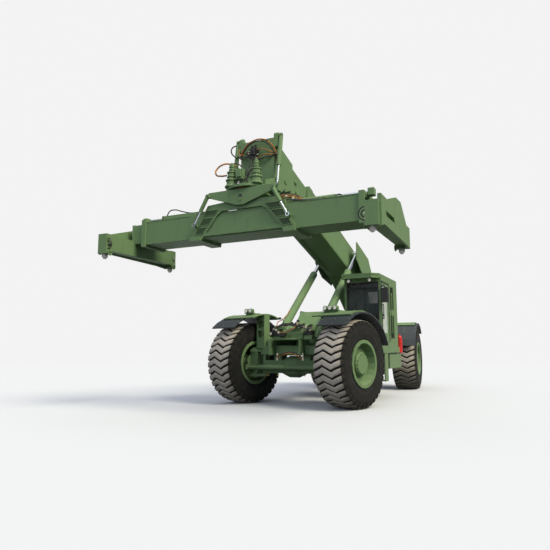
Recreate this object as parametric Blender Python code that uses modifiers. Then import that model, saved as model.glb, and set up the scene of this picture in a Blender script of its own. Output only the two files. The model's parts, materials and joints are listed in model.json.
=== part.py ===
"""Reach stacker for containers: a four-wheel-steered rough-terrain carrier with a gooseneck
telescopic boom, a rotating head and a twenty to forty foot spreader.

Metres, +Z up. The machine faces -Y and its left side, the cab side, is +X. Lengths below are
measured from the front axle's middle at ground level, and one empty shifts the whole machine so
that the world origin is the middle of its footprint.
"""
import math

import bmesh
import bpy
from mathutils import Euler, Matrix, Vector

# Overall places, from the front axle's middle on the ground.
SPREADER_Y = -2.32
TWIST_HALF_Y = 1.1295
CORNER_HALF = 0.085
FRONT_REACH = TWIST_HALF_Y + CORNER_HALF - SPREADER_Y
REAR_REACH = 7.70
WHEELBASE = 6.19
MIDDLE_Y = (FRONT_REACH - REAR_REACH) / 2

# Gaps and cuts.
SEAT_GAP = 0.0003
SLIP_GAP = 0.0005
RUNNING_GAP = 0.006
OVERRUN = 0.02
WELD = 0.000001
LAP = 0.01

# Wheels.
TYRE_RADIUS = 1.003
TYRE_HALF_WIDTH = 0.40
TREAD_HALF_WIDTH = 0.344
TREAD_DEPTH = 0.045
BEAD_RADIUS = 0.50
BEAD_HALF_WIDTH = 0.345
BEAD_HEIGHT = 0.055
RIM_FLANGE_RADIUS = 0.543
RIM_FLANGE = 0.383
RIM_WALL = 0.03
RIM_INNER_FLANGE = 0.37
RIM_CONE_RADIUS = 0.41
RIM_CONE_DEPTH = 0.045
DISC_PLACE = 0.17
DISC_RADIUS = 0.40
DISC_WALL = 0.04
DRUM_RADIUS = 0.26
DRUM_FACE = 0.33
HUB_BEVEL = 0.04
HUB_BARREL_RADIUS = 0.20
HUB_BARREL_END = 0.12
SPINDLE_REACH = 0.095
SPINDLE_PLAY = 0.004
HALF_TRACK = 1.442
KINGPIN_INSET = 0.375
KINGPIN_X = HALF_TRACK - KINGPIN_INSET
AXLE_HEIGHT = TYRE_RADIUS
STEER_LEFT_FRONT = math.radians(-14.2)
STEER_RIGHT_FRONT = math.radians(-14.8)
STEER_LEFT_REAR = math.radians(3.7)
STEER_RIGHT_REAR = math.radians(4.0)
WHEEL_SEGMENTS = 24
RIM_SEGMENTS = 20

# Knuckles and axles.
KINGPIN_RADIUS = 0.07
PIN_PLAY = 0.002
PIN_SEGMENTS = 14
BOOM_PIN_SEGMENTS = 24
BARREL_SEGMENTS = 14
CAP_SEGMENTS = 10
KINGPIN_CAP_RADIUS = 0.11
KINGPIN_CAP = 0.03
YOKE_HALF_HEIGHT = 0.27
YOKE_PLATE = 0.06
YOKE_HALF_DEPTH = 0.12
YOKE_REACH = 0.11
YOKE_ROOT = 0.33
YOKE_WEB = 0.07
KNUCKLE_HALF_DEPTH = 0.11
KNUCKLE_IN = 0.13
KNUCKLE_OUT = 0.10
SPINDLE_RADIUS = 0.11
KNUCKLE_FLANGE_RADIUS = 0.22
KNUCKLE_FLANGE = 0.04
AXLE_HALF_HEIGHT = 0.155
AXLE_HALF_DEPTH = 0.17
AXLE_DROP = 0.09
DIFF_RADIUS = 0.26
DIFF_HALF_WIDTH = 0.30
DIFF_NECK_RADIUS = 0.18
DIFF_CROWN_HALF = 0.13
STEER_ARM_REACH = 0.34
STEER_ARM_PLATE = 0.025
STEER_ARM_GAP = 0.07
STEER_ARM_HALF_WIDTH = 0.055
STEER_ARM_WEB = 0.20
STEER_CYL_RADIUS = 0.06
STEER_ROD_RADIUS = 0.03
STEER_CYL_HALF = 0.82
STEER_CYL_DROP = 0.10
STEER_EYE_RADIUS = 0.05
STEER_EYE_HALF = 0.025
STEER_LUG_X = 0.45
STEER_LUG_HALF = 0.04

# Fenders.
FENDER_RADIUS = 1.15
FENDER_WALL = 0.03
FENDER_OUT = 0.785
FENDER_IN = 0.0
FENDER_FRONT_ANGLE = math.radians(47)
FENDER_REAR_ANGLE = math.radians(21)
FENDER_STEPS = 10
LAMP_STEP = 0.14
LAMP_START = -0.16
LAMP_FRONT = -0.33
LAMP_DEPTH = 0.10
LAMP_FOOT = 0.05
LAMP_RADIUS = 0.055
BRACKET_IN = 0.36
BRACKET_OUT = 0.107
BRACKET_HALF_DEPTH = 0.10
BRACKET_WALL = 0.02
BRACKET_FOOT = 0.025
BRACKET_REACH = 0.70
BRACKET_TOP = 0.03
BRACKET_TOP_HALF_ANGLE = math.radians(24)
BRACKET_TOP_STEPS = 6
BRACKET_WINDOW_HALF = 0.10
BRACKET_WINDOW_HEIGHT = 0.17
BRACKET_WINDOW_LOW = 0.62
BRACKET_WINDOW_STEP = 0.24
BRACKET_WINDOW_CORNER = 0.05

# Main frame.
FRAME_HALF_WIDTH = 0.40
FRAME_PLATE = 0.04
FRAME_TOP = 1.55
FRAME_BOTTOM = 1.20
FRAME_FRONT = 0.62
FRAME_REAR = 7.46
CROSS_DEPTH = 0.12
CROSS_PLACES = (0.9, 2.1, 3.4, 4.7, 5.2, 6.9)
APRON_HALF_DEPTH = 0.30
APRON_PLATE = 0.04
APRON_HALF_BOTTOM = 0.80
APRON_HALF_TOP = 0.66
APRON_TOP = 1.42
FOOT_RADIUS = 0.15
FOOT_PLATE = 0.03
FOOT_PIN_RADIUS = 0.05
FOOT_HUB_RADIUS = 0.08
SADDLE_X = 0.38
SADDLE_HALF_WIDTH = 0.10
TOWER_INNER = 0.415
TOWER_PLATE = 0.045
TOWER_RADIUS = 0.26
TOWER_FRONT = 5.25
TOWER_REAR = 6.55
TOWER_BOSS = 0.03
TOWER_BOSS_RADIUS = 0.19
VALVE_HALF_WIDTH = 0.33

# Boom, in its own frame: s runs forward along the boom from the pivot, t is square to it.
BOOM_PIVOT_Y = 5.90
BOOM_PIVOT_Z = 2.45
BOOM_SLOPE = math.radians(15.4)
BOOM_HALF_WIDTH = 0.40
BOOM_BOTTOM = 0.50
BOOM_TOP = 1.29
BOOM_WALL = 0.03
BOOM_END = 6.45
BOOM_KNEE = 2.59
BOOM_THROAT = 2.50
BOOM_BOSS_RADIUS = 0.28
BOOM_PIN_RADIUS = 0.11
BOOM_HUB_RADIUS = 0.20
BOOM_PIN_HALF = 0.50
TUNNEL_ROOT = 2.75
INNER_HALF_WIDTH = 0.35
INNER_BOTTOM = 0.56
INNER_TOP = 1.22
INNER_ROOT = 2.95
INNER_END = 7.80
PAD_LENGTH = 0.25
NOSE_FACE_Y = -2.00
NOSE_TOP_Z = 5.93
NOSE_CHIN_Z = 4.87
NOSE_THROAT_Y = -1.38
NOSE_ROOT_Y = -1.00
NOSE_HALF_WIDTH = 0.41
LIFT_PIN_S = 2.74
LIFT_PIN_T = 1.08
LIFT_X = 0.53
WING_HALF_WIDTH = 0.675
WING_PLATE = 0.03
WING_RIB = 0.03

# Lift cylinders.
LIFT_BASE_Y = 0.0
LIFT_BASE_Z = 1.49
LIFT_BARREL_RADIUS = 0.105
LIFT_BARREL_LENGTH = 3.39
LIFT_ROD_RADIUS = 0.055
LIFT_EYE_RADIUS = 0.10
LIFT_EYE_HALF = 0.055
LIFT_EYE_BORE = 0.05
LIFT_ROD_START = 1.27

# Head that hangs from the boom's nose, in a frame at its own pin.
HEAD_PIN_Y = -1.55
HEAD_PIN_Z = 5.05
HEAD_PIN_RADIUS = 0.06
HEAD_HUB_RADIUS = 0.10
HEAD_EAR_RADIUS = 0.13
HEAD_EAR_INNER = 0.43
HEAD_EAR_PLATE = 0.045
SLEW_Y = -2.32
SLEW_PLATE_TOP = 4.71
SLEW_PLATE = 0.06
SLEW_PLATE_RADIUS = 0.50
GEAR_TOP = SLEW_PLATE_TOP - SLEW_PLATE - SLIP_GAP
GEAR_BOTTOM = 4.59
GEAR_RADIUS = 0.38
MOTOR_X = 0.29
MOTOR_Y = -2.60
MOTOR_TOP = 5.22
MOTOR_RADIUS = 0.09

# Tilt cylinders beside the nose.
TILT_X = 0.535
TILT_TOP_Y = -1.90
TILT_TOP_Z = 6.00
TILT_EYE_Y = -2.10
TILT_EYE_Z = 4.82
TILT_EAR = 0.07
TILT_PIN_RADIUS = 0.025
TILT_HUB_RADIUS = 0.04
TILT_BARREL_RADIUS = 0.05
TILT_ROD_RADIUS = 0.025
TILT_BARREL_LENGTH = 0.74
TILT_ROD_START = 0.30
TILT_EYE_RADIUS = 0.05
TILT_EYE_HALF = 0.03

# Rotator under the slew ring.
DECK_TOP = GEAR_BOTTOM
DECK_PLATE = 0.04
YOKE_HALF_SPAN = 0.77
YOKE_FRONT = -2.745
YOKE_DEPTH = 0.85
YOKE_WALL = 0.04
YOKE_APEX_Z = 4.28
SLOPE_PIN_Z = 4.40
SLOPE_PIN_RADIUS = 0.045
SLOPE_CYL_Y = -2.80
SLOPE_TOP_X = 0.76
SLOPE_TOP_Z = 4.53
SLOPE_EYE_X = 1.09
SLOPE_EYE_Z = 3.94
SLOPE_BARREL_RADIUS = 0.042
SLOPE_BARREL_LENGTH = 0.36
SLOPE_ROD_START = 0.20
SLOPE_ROD_RADIUS = 0.02
SLOPE_EYE_RADIUS = 0.045
SLOPE_EYE_HALF = 0.025
SLOPE_BORE = 0.028
SLOPE_PIN = 0.02
SLOPE_HUB = 0.036

# Spreader.
BEAM_HALF_LENGTH = 2.58
BEAM_HALF_DEPTH = 0.34
BEAM_BOTTOM = 3.68
BEAM_TOP = 4.20
BEAM_WALL = 0.02
TRUSS_PLATE = 0.04
TRUSS_TOP = 4.49
TRUSS_FOOT = 3.66
SLIDE_HALF_HEIGHT = 0.215
SLIDE_LENGTH = 4.0
END_INNER = 2.82
END_OUTER = 3.09
TWIST_X = 2.9265
TWIST_TIP = 3.27

# Cab and its platform.
PLATFORM_OUT = 1.80
PLATFORM_FRONT = 1.50
PLATFORM_REAR = 3.42
PLATFORM_BOTTOM = 1.23
PLATFORM_TOP = 1.38
CAB_X0 = 0.80
CAB_X1 = 1.78
CAB_Y0 = 1.52
CAB_Y1 = 3.35
CAB_Z0 = 1.40
CAB_Z1 = 3.24
CAB_WALL = 0.06
CAB_CHAMFER = 0.16
SCREEN_LOW = 1.95
SCREEN_HIGH = 3.06
DOOR_FRONT = 1.60
DOOR_REAR = 2.32
DOOR_LOW = 1.50
DOOR_HIGH = 3.06
DOOR_SILL = 1.75
DOOR_PLAY = 0.006
SLOT_FRONT = 2.56
SLOT_REAR = 2.86
SLOT_LOWS = (1.62, 2.42)
SLOT_HEIGHT = 0.62
GLASS = 0.01
GLASS_LAP = 0.02
HINGE_RADIUS = 0.02
VISOR_REACH = 0.28
VISOR_BAR = 0.04
VISOR_SLATS = 5
BRACE_FOOT_Y = 0.80
BRACE_FOOT_Z = 2.02

# Boxes, tanks and hoods.
TANK_X0 = 1.00
TANK_X1 = 1.80
TANK_Y0 = 2.20
TANK_Y1 = 3.58
TANK_Z0 = 0.81
TANK_Z1 = 1.18
STEP_X0 = 1.50
STEP_Y0 = 1.72
STEP_Y1 = 2.05
STEP_HEIGHTS = (0.50, 0.80, 1.10)
STEP_TREAD = 0.03
HOOD_X0 = -1.45
HOOD_X1 = -0.56
HOOD_Y0 = 1.75
HOOD_Y1 = 4.68
HOOD_Z0 = 1.15
HOOD_Z1 = 2.00
HOOD_WALL = 0.03
ENGINE_MARGIN = 0.12
ENGINE_LENGTH = 1.60
RADIATOR_HALF_WIDTH = 0.36
RADIATOR_Y0 = 6.45
RADIATOR_Y1 = 7.40
RADIATOR_TOP = 2.20
WEIGHT_HALF_WIDTH = 1.25
WEIGHT_BOTTOM = 0.92
WEIGHT_TOP = 1.75
RAIL_RADIUS = 0.018
RAIL_HEIGHT = 0.52
EXTINGUISHER_RADIUS = 0.08
EXTINGUISHER_Y = 3.62
EXTINGUISHER_X = 1.76
EXTINGUISHER_LOW = 1.22
EXTINGUISHER_HIGH = 1.76

STEER_CYL_Y = -STEER_ARM_REACH * math.cos(STEER_LEFT_FRONT)

PARTS = "reach_stacker"
CUTTERS = "cutters"

# Paint and other finishes: colour, roughness, metallic.
FINISHES = {
    "green_paint": ((0.13, 0.20, 0.10), 0.45, 0.0),
    "dark_green": ((0.07, 0.10, 0.06), 0.50, 0.0),
    "tyre_rubber": ((0.10, 0.095, 0.09), 0.90, 0.0),
    "slate_plastic": ((0.05, 0.06, 0.07), 0.60, 0.0),
    "chrome_rod": ((0.80, 0.80, 0.82), 0.15, 1.0),
    "copper_gear": ((0.55, 0.32, 0.20), 0.40, 0.8),
    "lamp_lens": ((0.90, 0.90, 0.88), 0.15, 0.0),
    "clear_glass": ((0.55, 0.65, 0.68), 0.05, 0.0),
    "black_trim": ((0.02, 0.02, 0.02), 0.50, 0.0),
    "red_paint": ((0.75, 0.03, 0.02), 0.35, 0.0),
}


def clear_scene():
    for thing in list(bpy.data.objects):
        bpy.data.objects.remove(thing)
    for group in list(bpy.data.collections):
        bpy.data.collections.remove(group)


def material(name):
    """The Principled material of one finish, made once."""
    found = bpy.data.materials.get(name)
    if found:
        return found
    colour, roughness, metallic = FINISHES[name]
    made = bpy.data.materials.new(name)
    made.use_nodes = True
    shader = made.node_tree.nodes["Principled BSDF"]
    shader.inputs["Base Color"].default_value = (*colour, 1.0)
    shader.inputs["Roughness"].default_value = roughness
    shader.inputs["Metallic"].default_value = metallic
    return made


def from_mesh(mesh):
    """A working object around a mesh, linked to the scene so that it can be evaluated."""
    thing = bpy.data.objects.new(mesh.name, mesh)
    bpy.context.scene.collection.objects.link(thing)
    return thing


def from_bmesh(shape):
    mesh = bpy.data.meshes.new("shape")
    shape.to_mesh(mesh)
    shape.free()
    return from_mesh(mesh)


def baked(thing):
    """The same shape as a plain mesh, welded and with its faces pointing out."""
    graph = bpy.context.evaluated_depsgraph_get()
    mesh = bpy.data.meshes.new_from_object(thing.evaluated_get(graph))
    place = thing.matrix_world.copy()
    bpy.data.objects.remove(thing)
    shape = bmesh.new()
    shape.from_mesh(mesh)
    bmesh.ops.remove_doubles(shape, verts=shape.verts, dist=WELD)
    bmesh.ops.recalc_face_normals(shape, faces=shape.faces)
    shape.to_mesh(mesh)
    shape.free()
    made = from_mesh(mesh)
    made.matrix_world = place
    return made


def block(x0, x1, y0, y1, z0, z1):
    """A box between two corners."""
    low, high = Vector((x0, y0, z0)), Vector((x1, y1, z1))
    shape = bmesh.new()
    bmesh.ops.create_cube(shape, size=1.0,
                          matrix=Matrix.LocRotScale((low + high) / 2, None, high - low))
    return from_bmesh(shape)


def bar(start, end, width, height, roll=0.0):
    """A square bar from point to point: width lies across, height up."""
    start, end = Vector(start), Vector(end)
    turn = (end - start).to_track_quat("Y", "Z") @ Euler((0, roll, 0)).to_quaternion()
    shape = bmesh.new()
    bmesh.ops.create_cube(shape, size=1.0, matrix=Matrix.LocRotScale(
        (start + end) / 2, turn, (width, (end - start).length, height)))
    return from_bmesh(shape)


def round_bar(radius, start, end, segments=16, end_radius=None):
    """A round bar or cone between two points."""
    start, end = Vector(start), Vector(end)
    turn = (end - start).to_track_quat("Z", "Y")
    shape = bmesh.new()
    bmesh.ops.create_cone(
        shape, cap_ends=True, cap_tris=False, segments=segments, radius1=radius,
        radius2=radius if end_radius is None else end_radius, depth=(end - start).length,
        matrix=Matrix.LocRotScale((start + end) / 2, turn, (1, 1, 1)))
    return from_bmesh(shape)


# How a flat outline's two axes and its thickness lie in the model.
PLANES = {
    "YZ": Matrix(((0, 0, 1, 0), (1, 0, 0, 0), (0, 1, 0, 0), (0, 0, 0, 1))),
    "XZ": Matrix(((1, 0, 0, 0), (0, 0, -1, 0), (0, 1, 0, 0), (0, 0, 0, 1))),
    "XY": Matrix.Identity(4),
}


def plate(plane, outlines, low, high):
    """A flat plate from its outline and its holes, between two places on its third axis."""
    curve = bpy.data.curves.new("outline", "CURVE")
    curve.dimensions = "2D"
    curve.fill_mode = "BOTH"
    curve.extrude = (high - low) / 2
    for outline in outlines:
        spline = curve.splines.new("POLY")
        spline.points.add(len(outline) - 1)
        for point, (u, v) in zip(spline.points, outline):
            point.co = (u, v, 0, 1)
        spline.use_cyclic_u = True
    thing = bpy.data.objects.new("outline", curve)
    bpy.context.scene.collection.objects.link(thing)
    middle = (high + low) / 2
    if plane == "XZ":
        middle = -middle
    made = baked(thing)
    made.data.transform(PLANES[plane] @ Matrix.Translation((0, 0, middle)))
    return made


def arc(centre, radius, start, end, steps):
    """Points along an arc, by angles in degrees from the first axis."""
    return [(centre[0] + radius * math.cos(math.radians(start + (end - start) * i / steps)),
             centre[1] + radius * math.sin(math.radians(start + (end - start) * i / steps)))
            for i in range(steps + 1)]


def tube(points, radius, sides=2):
    """A bent bar along points."""
    curve = bpy.data.curves.new("path", "CURVE")
    curve.dimensions = "3D"
    curve.bevel_depth = radius
    curve.bevel_resolution = sides
    curve.use_fill_caps = True
    spline = curve.splines.new("POLY")
    spline.points.add(len(points) - 1)
    for point, place in zip(spline.points, points):
        point.co = (*place, 1)
    thing = bpy.data.objects.new("path", curve)
    bpy.context.scene.collection.objects.link(thing)
    made = baked(thing)
    shape = bmesh.new()
    shape.from_mesh(made.data)
    bmesh.ops.triangulate(shape, faces=shape.faces)
    shape.to_mesh(made.data)
    shape.free()
    return made


def turned(profile, segments, closed=True):
    """A shape turned about the X axis from (radius, x) points, run from +X to -X outside."""
    mesh = bpy.data.meshes.new("profile")
    count = len(profile)
    edges = [(i, i + 1) for i in range(count - 1)]
    if closed:
        edges.append((count - 1, 0))
    mesh.from_pydata([(radius, 0, x) for radius, x in profile], edges, [])
    thing = from_mesh(mesh)
    screw = thing.modifiers.new("turn", "SCREW")
    screw.axis = "Z"
    screw.steps = segments
    screw.render_steps = segments
    screw.use_merge_vertices = True
    screw.merge_threshold = 0.0001
    made = baked(thing)
    made.data.transform(Matrix.Rotation(math.pi / 2, 4, "Y"))
    return made


def combined(operation, body, others):
    """Body with the others joined to it or cut from it, by exact booleans."""
    for other in others:
        step = body.modifiers.new("step", "BOOLEAN")
        step.operation = operation
        step.solver = "EXACT"
        step.object = other
    made = baked(body)
    for other in others:
        bpy.data.objects.remove(other)
    return made


def union(body, *others):
    return combined("UNION", body, others)


def cut(body, *others):
    return combined("DIFFERENCE", body, others)


def mirrored(shape, axis="X"):
    """A copy of a working object on the other side."""
    copy = from_mesh(shape.data.copy())
    sign = {"X": (-1, 1, 1), "Y": (1, -1, 1)}[axis]
    copy.data.transform(Matrix.Diagonal((*sign, 1)))
    copy.data.flip_normals()
    return copy


def finish(shape, name, finish_name, parent, origin=(0, 0, 0)):
    """Name a finished piece, paint it and hang it on its pivot, which lies at origin in it."""
    shape.data.transform(Matrix.Translation(-Vector(origin)))
    shape.name = name
    shape.data.name = name
    shape.data.materials.clear()
    shape.data.materials.append(material(finish_name))
    shape.data.shade_smooth()
    shape.data.set_sharp_from_angle(angle=math.radians(35))
    bpy.context.scene.collection.objects.unlink(shape)
    bpy.data.collections[PARTS].objects.link(shape)
    shape.parent = parent
    return shape


def pivot(name, place, turn=(0, 0, 0), parent=None):
    """An empty on a joint's axis."""
    empty = bpy.data.objects.new(name, None)
    bpy.data.collections[PARTS].objects.link(empty)
    empty.location = place
    empty.rotation_euler = turn
    empty.parent = parent
    return empty


def boom_to_machine(s, t):
    """A place given along and square to the boom, as the machine's y and z."""
    return (BOOM_PIVOT_Y - s * math.cos(BOOM_SLOPE) + t * math.sin(BOOM_SLOPE),
            BOOM_PIVOT_Z + s * math.sin(BOOM_SLOPE) + t * math.cos(BOOM_SLOPE))


def machine_to_boom(y, z):
    """A place given as the machine's y and z, along and square to the boom."""
    dy, dz = y - BOOM_PIVOT_Y, z - BOOM_PIVOT_Z
    return (-dy * math.cos(BOOM_SLOPE) + dz * math.sin(BOOM_SLOPE),
            dy * math.sin(BOOM_SLOPE) + dz * math.cos(BOOM_SLOPE))


def boom_plate(outlines, low, high):
    """A plate in the boom's side view, from (s, t) outlines."""
    return plate("YZ", [[(-s, t) for s, t in outline] for outline in outlines], low, high)


# Wheels.

def tyre():
    """A tyre turned in the wheel's own frame, +X outboard, out to its tread's lugs."""
    profile = [
        (BEAD_RADIUS, BEAD_HALF_WIDTH),
        (BEAD_RADIUS + BEAD_HEIGHT, BEAD_HALF_WIDTH),
        (TYRE_RADIUS * 0.78, TYRE_HALF_WIDTH),
        (TYRE_RADIUS * 0.90, TYRE_HALF_WIDTH - 0.015),
        (TYRE_RADIUS - 0.02, TREAD_HALF_WIDTH),
        (TYRE_RADIUS, TREAD_HALF_WIDTH - 0.05),
    ]
    other_side = [(radius, -x) for radius, x in reversed(profile)]
    return turned(profile + other_side, WHEEL_SEGMENTS)


def rim():
    """Rim, disc and planetary hub turned as one, with a blind bore for the spindle."""
    disc_front = DISC_PLACE + DISC_WALL
    seat = BEAD_RADIUS * math.cos(math.pi / WHEEL_SEGMENTS) - SEAT_GAP
    flange_in = BEAD_HALF_WIDTH + SEAT_GAP
    barrel_in = BEAD_RADIUS - RIM_WALL
    profile = [
        (0, DRUM_FACE),
        (DRUM_RADIUS - HUB_BEVEL, DRUM_FACE),
        (DRUM_RADIUS, DRUM_FACE - HUB_BEVEL),
        (DRUM_RADIUS, disc_front),
        (RIM_CONE_RADIUS, disc_front),
        (barrel_in, RIM_FLANGE),
        (RIM_FLANGE_RADIUS, RIM_FLANGE),
        (RIM_FLANGE_RADIUS, flange_in),
        (seat, flange_in),
        (seat, -flange_in),
        (RIM_FLANGE_RADIUS, -flange_in),
        (RIM_FLANGE_RADIUS, -RIM_INNER_FLANGE),
        (barrel_in, -RIM_INNER_FLANGE),
        (barrel_in, DISC_PLACE),
        (HUB_BARREL_RADIUS, DISC_PLACE),
        (HUB_BARREL_RADIUS, -HUB_BARREL_END),
        (SPINDLE_RADIUS + SPINDLE_PLAY, -HUB_BARREL_END),
        (SPINDLE_RADIUS + SPINDLE_PLAY, SPINDLE_REACH + SLIP_GAP),
        (0, SPINDLE_REACH + SLIP_GAP),
    ]
    return turned(profile, RIM_SEGMENTS, closed=False)


# Knuckles, in a frame at the kingpin on the axle's height, +X outboard.

def knuckle(lamps):
    """Knuckle between the yoke's plates, with its arm, fender bracket and row of lamps."""
    core_top = YOKE_HALF_HEIGHT - SEAT_GAP
    pin_top = YOKE_HALF_HEIGHT + YOKE_PLATE + SEAT_GAP
    cap_top = pin_top + KINGPIN_CAP
    arm_x = STEER_ARM_HALF_WIDTH
    arm_z = -STEER_CYL_DROP
    pieces = [
        round_bar(KINGPIN_RADIUS, (0, 0, -cap_top + LAP), (0, 0, cap_top - LAP), PIN_SEGMENTS),
        round_bar(KINGPIN_CAP_RADIUS, (0, 0, pin_top), (0, 0, cap_top), CAP_SEGMENTS),
        round_bar(KINGPIN_CAP_RADIUS, (0, 0, -cap_top), (0, 0, -pin_top), CAP_SEGMENTS),
        round_bar(KNUCKLE_FLANGE_RADIUS, (KNUCKLE_OUT - LAP, 0, 0),
                  (KNUCKLE_OUT + KNUCKLE_FLANGE, 0, 0), PIN_SEGMENTS),
        round_bar(SPINDLE_RADIUS, (KNUCKLE_OUT, 0, 0), (KINGPIN_INSET + SPINDLE_REACH, 0, 0),
                  PIN_SEGMENTS),
        block(-arm_x, arm_x, -STEER_ARM_WEB, 0, arm_z - STEER_ARM_GAP / 2 - LAP,
              arm_z + STEER_ARM_GAP / 2 + LAP),
    ]
    for side in (-1, 1):
        low = arm_z + side * (STEER_ARM_GAP + STEER_ARM_PLATE) / 2 - STEER_ARM_PLATE / 2
        outline = [(arm_x, 0), (-arm_x, 0), (-arm_x, -STEER_ARM_REACH)]
        outline += arc((0, -STEER_ARM_REACH), arm_x, 180, 360, 4)[1:]
        pieces.append(plate("XY", [outline], low, low + STEER_ARM_PLATE))
    core = block(-KNUCKLE_IN, KNUCKLE_OUT, -KNUCKLE_HALF_DEPTH, KNUCKLE_HALF_DEPTH,
                 -core_top, core_top)
    pieces += bracket_pieces()
    if lamps:
        pieces += lamp_pieces(lamps)
    return union(core, *pieces)


def arch(radius, wall, x0, x1, start, end, steps):
    """A bent sheet round the wheel's axis, by angles in degrees from the rear, over the top."""
    outline = arc((0, 0), radius, start, end, steps)
    outline += arc((0, 0), radius + wall, end, start, steps)
    return plate("YZ", [outline], x0, x1)


def fender():
    """Arched fender over the tyre, in the knuckle's frame."""
    return arch(FENDER_RADIUS, FENDER_WALL, -FENDER_IN, FENDER_OUT,
                math.degrees(FENDER_REAR_ANGLE), 180 - math.degrees(FENDER_FRONT_ANGLE),
                FENDER_STEPS)


def rounded(u0, u1, v0, v1, radius, steps=2):
    """A rectangle with round corners."""
    corners = ((u1 - radius, v1 - radius, 0), (u0 + radius, v1 - radius, 90),
               (u0 + radius, v0 + radius, 180), (u1 - radius, v0 + radius, 270))
    points = []
    for u, v, angle in corners:
        points += arc((u, v), radius, angle, angle + 90, steps)
    return points


def bracket_pieces():
    """Channel column on the kingpin's cap, with windows, and the curved plate over the fender."""
    foot_low = YOKE_HALF_HEIGHT + YOKE_PLATE + SEAT_GAP + KINGPIN_CAP - LAP
    top_radius = FENDER_RADIUS + FENDER_WALL + SEAT_GAP
    half = math.degrees(BRACKET_TOP_HALF_ANGLE)
    top_radius /= math.cos(BRACKET_TOP_HALF_ANGLE / BRACKET_TOP_STEPS)
    column_top = top_radius * math.cos(math.asin(BRACKET_HALF_DEPTH / top_radius)) + LAP
    middle = -(BRACKET_IN + BRACKET_OUT) / 2
    inner, outer = -BRACKET_IN, -BRACKET_OUT
    windows = []
    for step in range(2):
        low = BRACKET_WINDOW_LOW + step * BRACKET_WINDOW_STEP
        windows.append(rounded(middle - BRACKET_WINDOW_HALF, middle + BRACKET_WINDOW_HALF, low,
                               low + BRACKET_WINDOW_HEIGHT, BRACKET_WINDOW_CORNER))
    face = [(inner, foot_low), (outer, foot_low), (outer, column_top), (inner, column_top)]
    depth = BRACKET_HALF_DEPTH
    front = plate("XZ", [face] + windows, -depth, -depth + BRACKET_WALL)
    return [
        front,
        block(inner, inner + BRACKET_WALL, -depth + LAP, depth, foot_low, column_top),
        block(outer - BRACKET_WALL, outer, -depth + LAP, depth, foot_low, column_top),
        block(inner + LAP, KNUCKLE_IN / 2, -depth + LAP / 2, depth - LAP / 2, foot_low,
              foot_low + BRACKET_FOOT),
        arch(top_radius, BRACKET_TOP, inner + LAP / 2, BRACKET_REACH, 90 - half, 90 + half,
             BRACKET_TOP_STEPS),
    ]


def lamp_pieces(count):
    """A row of lamps on feet over the fender's plate, in the knuckle's frame."""
    base = FENDER_RADIUS + FENDER_WALL
    width = LAMP_STEP * count
    x0, y0 = LAMP_START, LAMP_FRONT
    pieces = [block(x0 + 2 * LAP, x0 + width - 2 * LAP, y0 + LAMP_DEPTH / 2, 0, base,
                    base + LAMP_FOOT)]
    pieces.append(block(x0, x0 + width, y0 + LAP, y0 + LAMP_DEPTH, base + LAMP_FOOT - LAP,
                        base + LAMP_FOOT + LAP))
    for i in range(count):
        x = x0 + LAMP_STEP * (i + 0.5)
        z = base + LAMP_FOOT + LAMP_RADIUS
        pieces.append(round_bar(LAMP_RADIUS, (x, y0, z), (x, y0 + LAMP_DEPTH, z), CAP_SEGMENTS))
    return pieces


def axle_beam():
    """Axle housing with its differential bulge and a yoke at each end."""
    low = -AXLE_DROP
    bulge = turned([
        (DIFF_NECK_RADIUS, DIFF_HALF_WIDTH), (DIFF_RADIUS, DIFF_CROWN_HALF),
        (DIFF_RADIUS, -DIFF_CROWN_HALF), (DIFF_NECK_RADIUS, -DIFF_HALF_WIDTH)],
        PIN_SEGMENTS, closed=False)
    bulge = capped(bulge)
    bulge.data.transform(Matrix.Translation((0, 0, low)))
    end = KINGPIN_X - YOKE_ROOT + LAP
    beam = block(-end, end, -AXLE_HALF_DEPTH, AXLE_HALF_DEPTH, low - AXLE_HALF_HEIGHT,
                 low + AXLE_HALF_HEIGHT)
    pieces = [bulge, steer_barrel()]
    yoke_top = YOKE_HALF_HEIGHT + YOKE_PLATE
    for side in (-1, 1):
        pin = side * KINGPIN_X
        web = sorted((pin - side * YOKE_ROOT, pin - side * (YOKE_ROOT - YOKE_WEB)))
        pieces.append(block(*web, -YOKE_HALF_DEPTH, YOKE_HALF_DEPTH, -yoke_top + LAP / 2,
                            yoke_top - LAP / 2))
        span = sorted((pin - side * (YOKE_ROOT - LAP), pin + side * YOKE_REACH))
        for level in (-1, 1):
            faces = sorted((level * YOKE_HALF_HEIGHT, level * yoke_top))
            ear = block(*span, -YOKE_HALF_DEPTH - LAP / 2, YOKE_HALF_DEPTH + LAP / 2, *faces)
            hole = round_bar(KINGPIN_RADIUS + PIN_PLAY, (pin, 0, faces[0] - OVERRUN),
                             (pin, 0, faces[1] + OVERRUN), PIN_SEGMENTS)
            pieces.append(cut(ear, hole))
        pad = sorted((side * (SADDLE_X - SADDLE_HALF_WIDTH), side * (SADDLE_X + SADDLE_HALF_WIDTH)))
        pieces.append(block(*pad, -AXLE_HALF_DEPTH + LAP, AXLE_HALF_DEPTH - LAP,
                            low + AXLE_HALF_HEIGHT - LAP,
                            FRAME_BOTTOM - AXLE_HEIGHT - SEAT_GAP))
        lug = sorted((side * (STEER_LUG_X - STEER_LUG_HALF), side * (STEER_LUG_X + STEER_LUG_HALF)))
        pieces.append(block(*lug, STEER_CYL_Y + STEER_CYL_RADIUS - LAP,
                            -AXLE_HALF_DEPTH + LAP, -STEER_CYL_DROP - STEER_LUG_HALF,
                            -STEER_CYL_DROP + STEER_LUG_HALF))
    return union(beam, *pieces)


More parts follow.
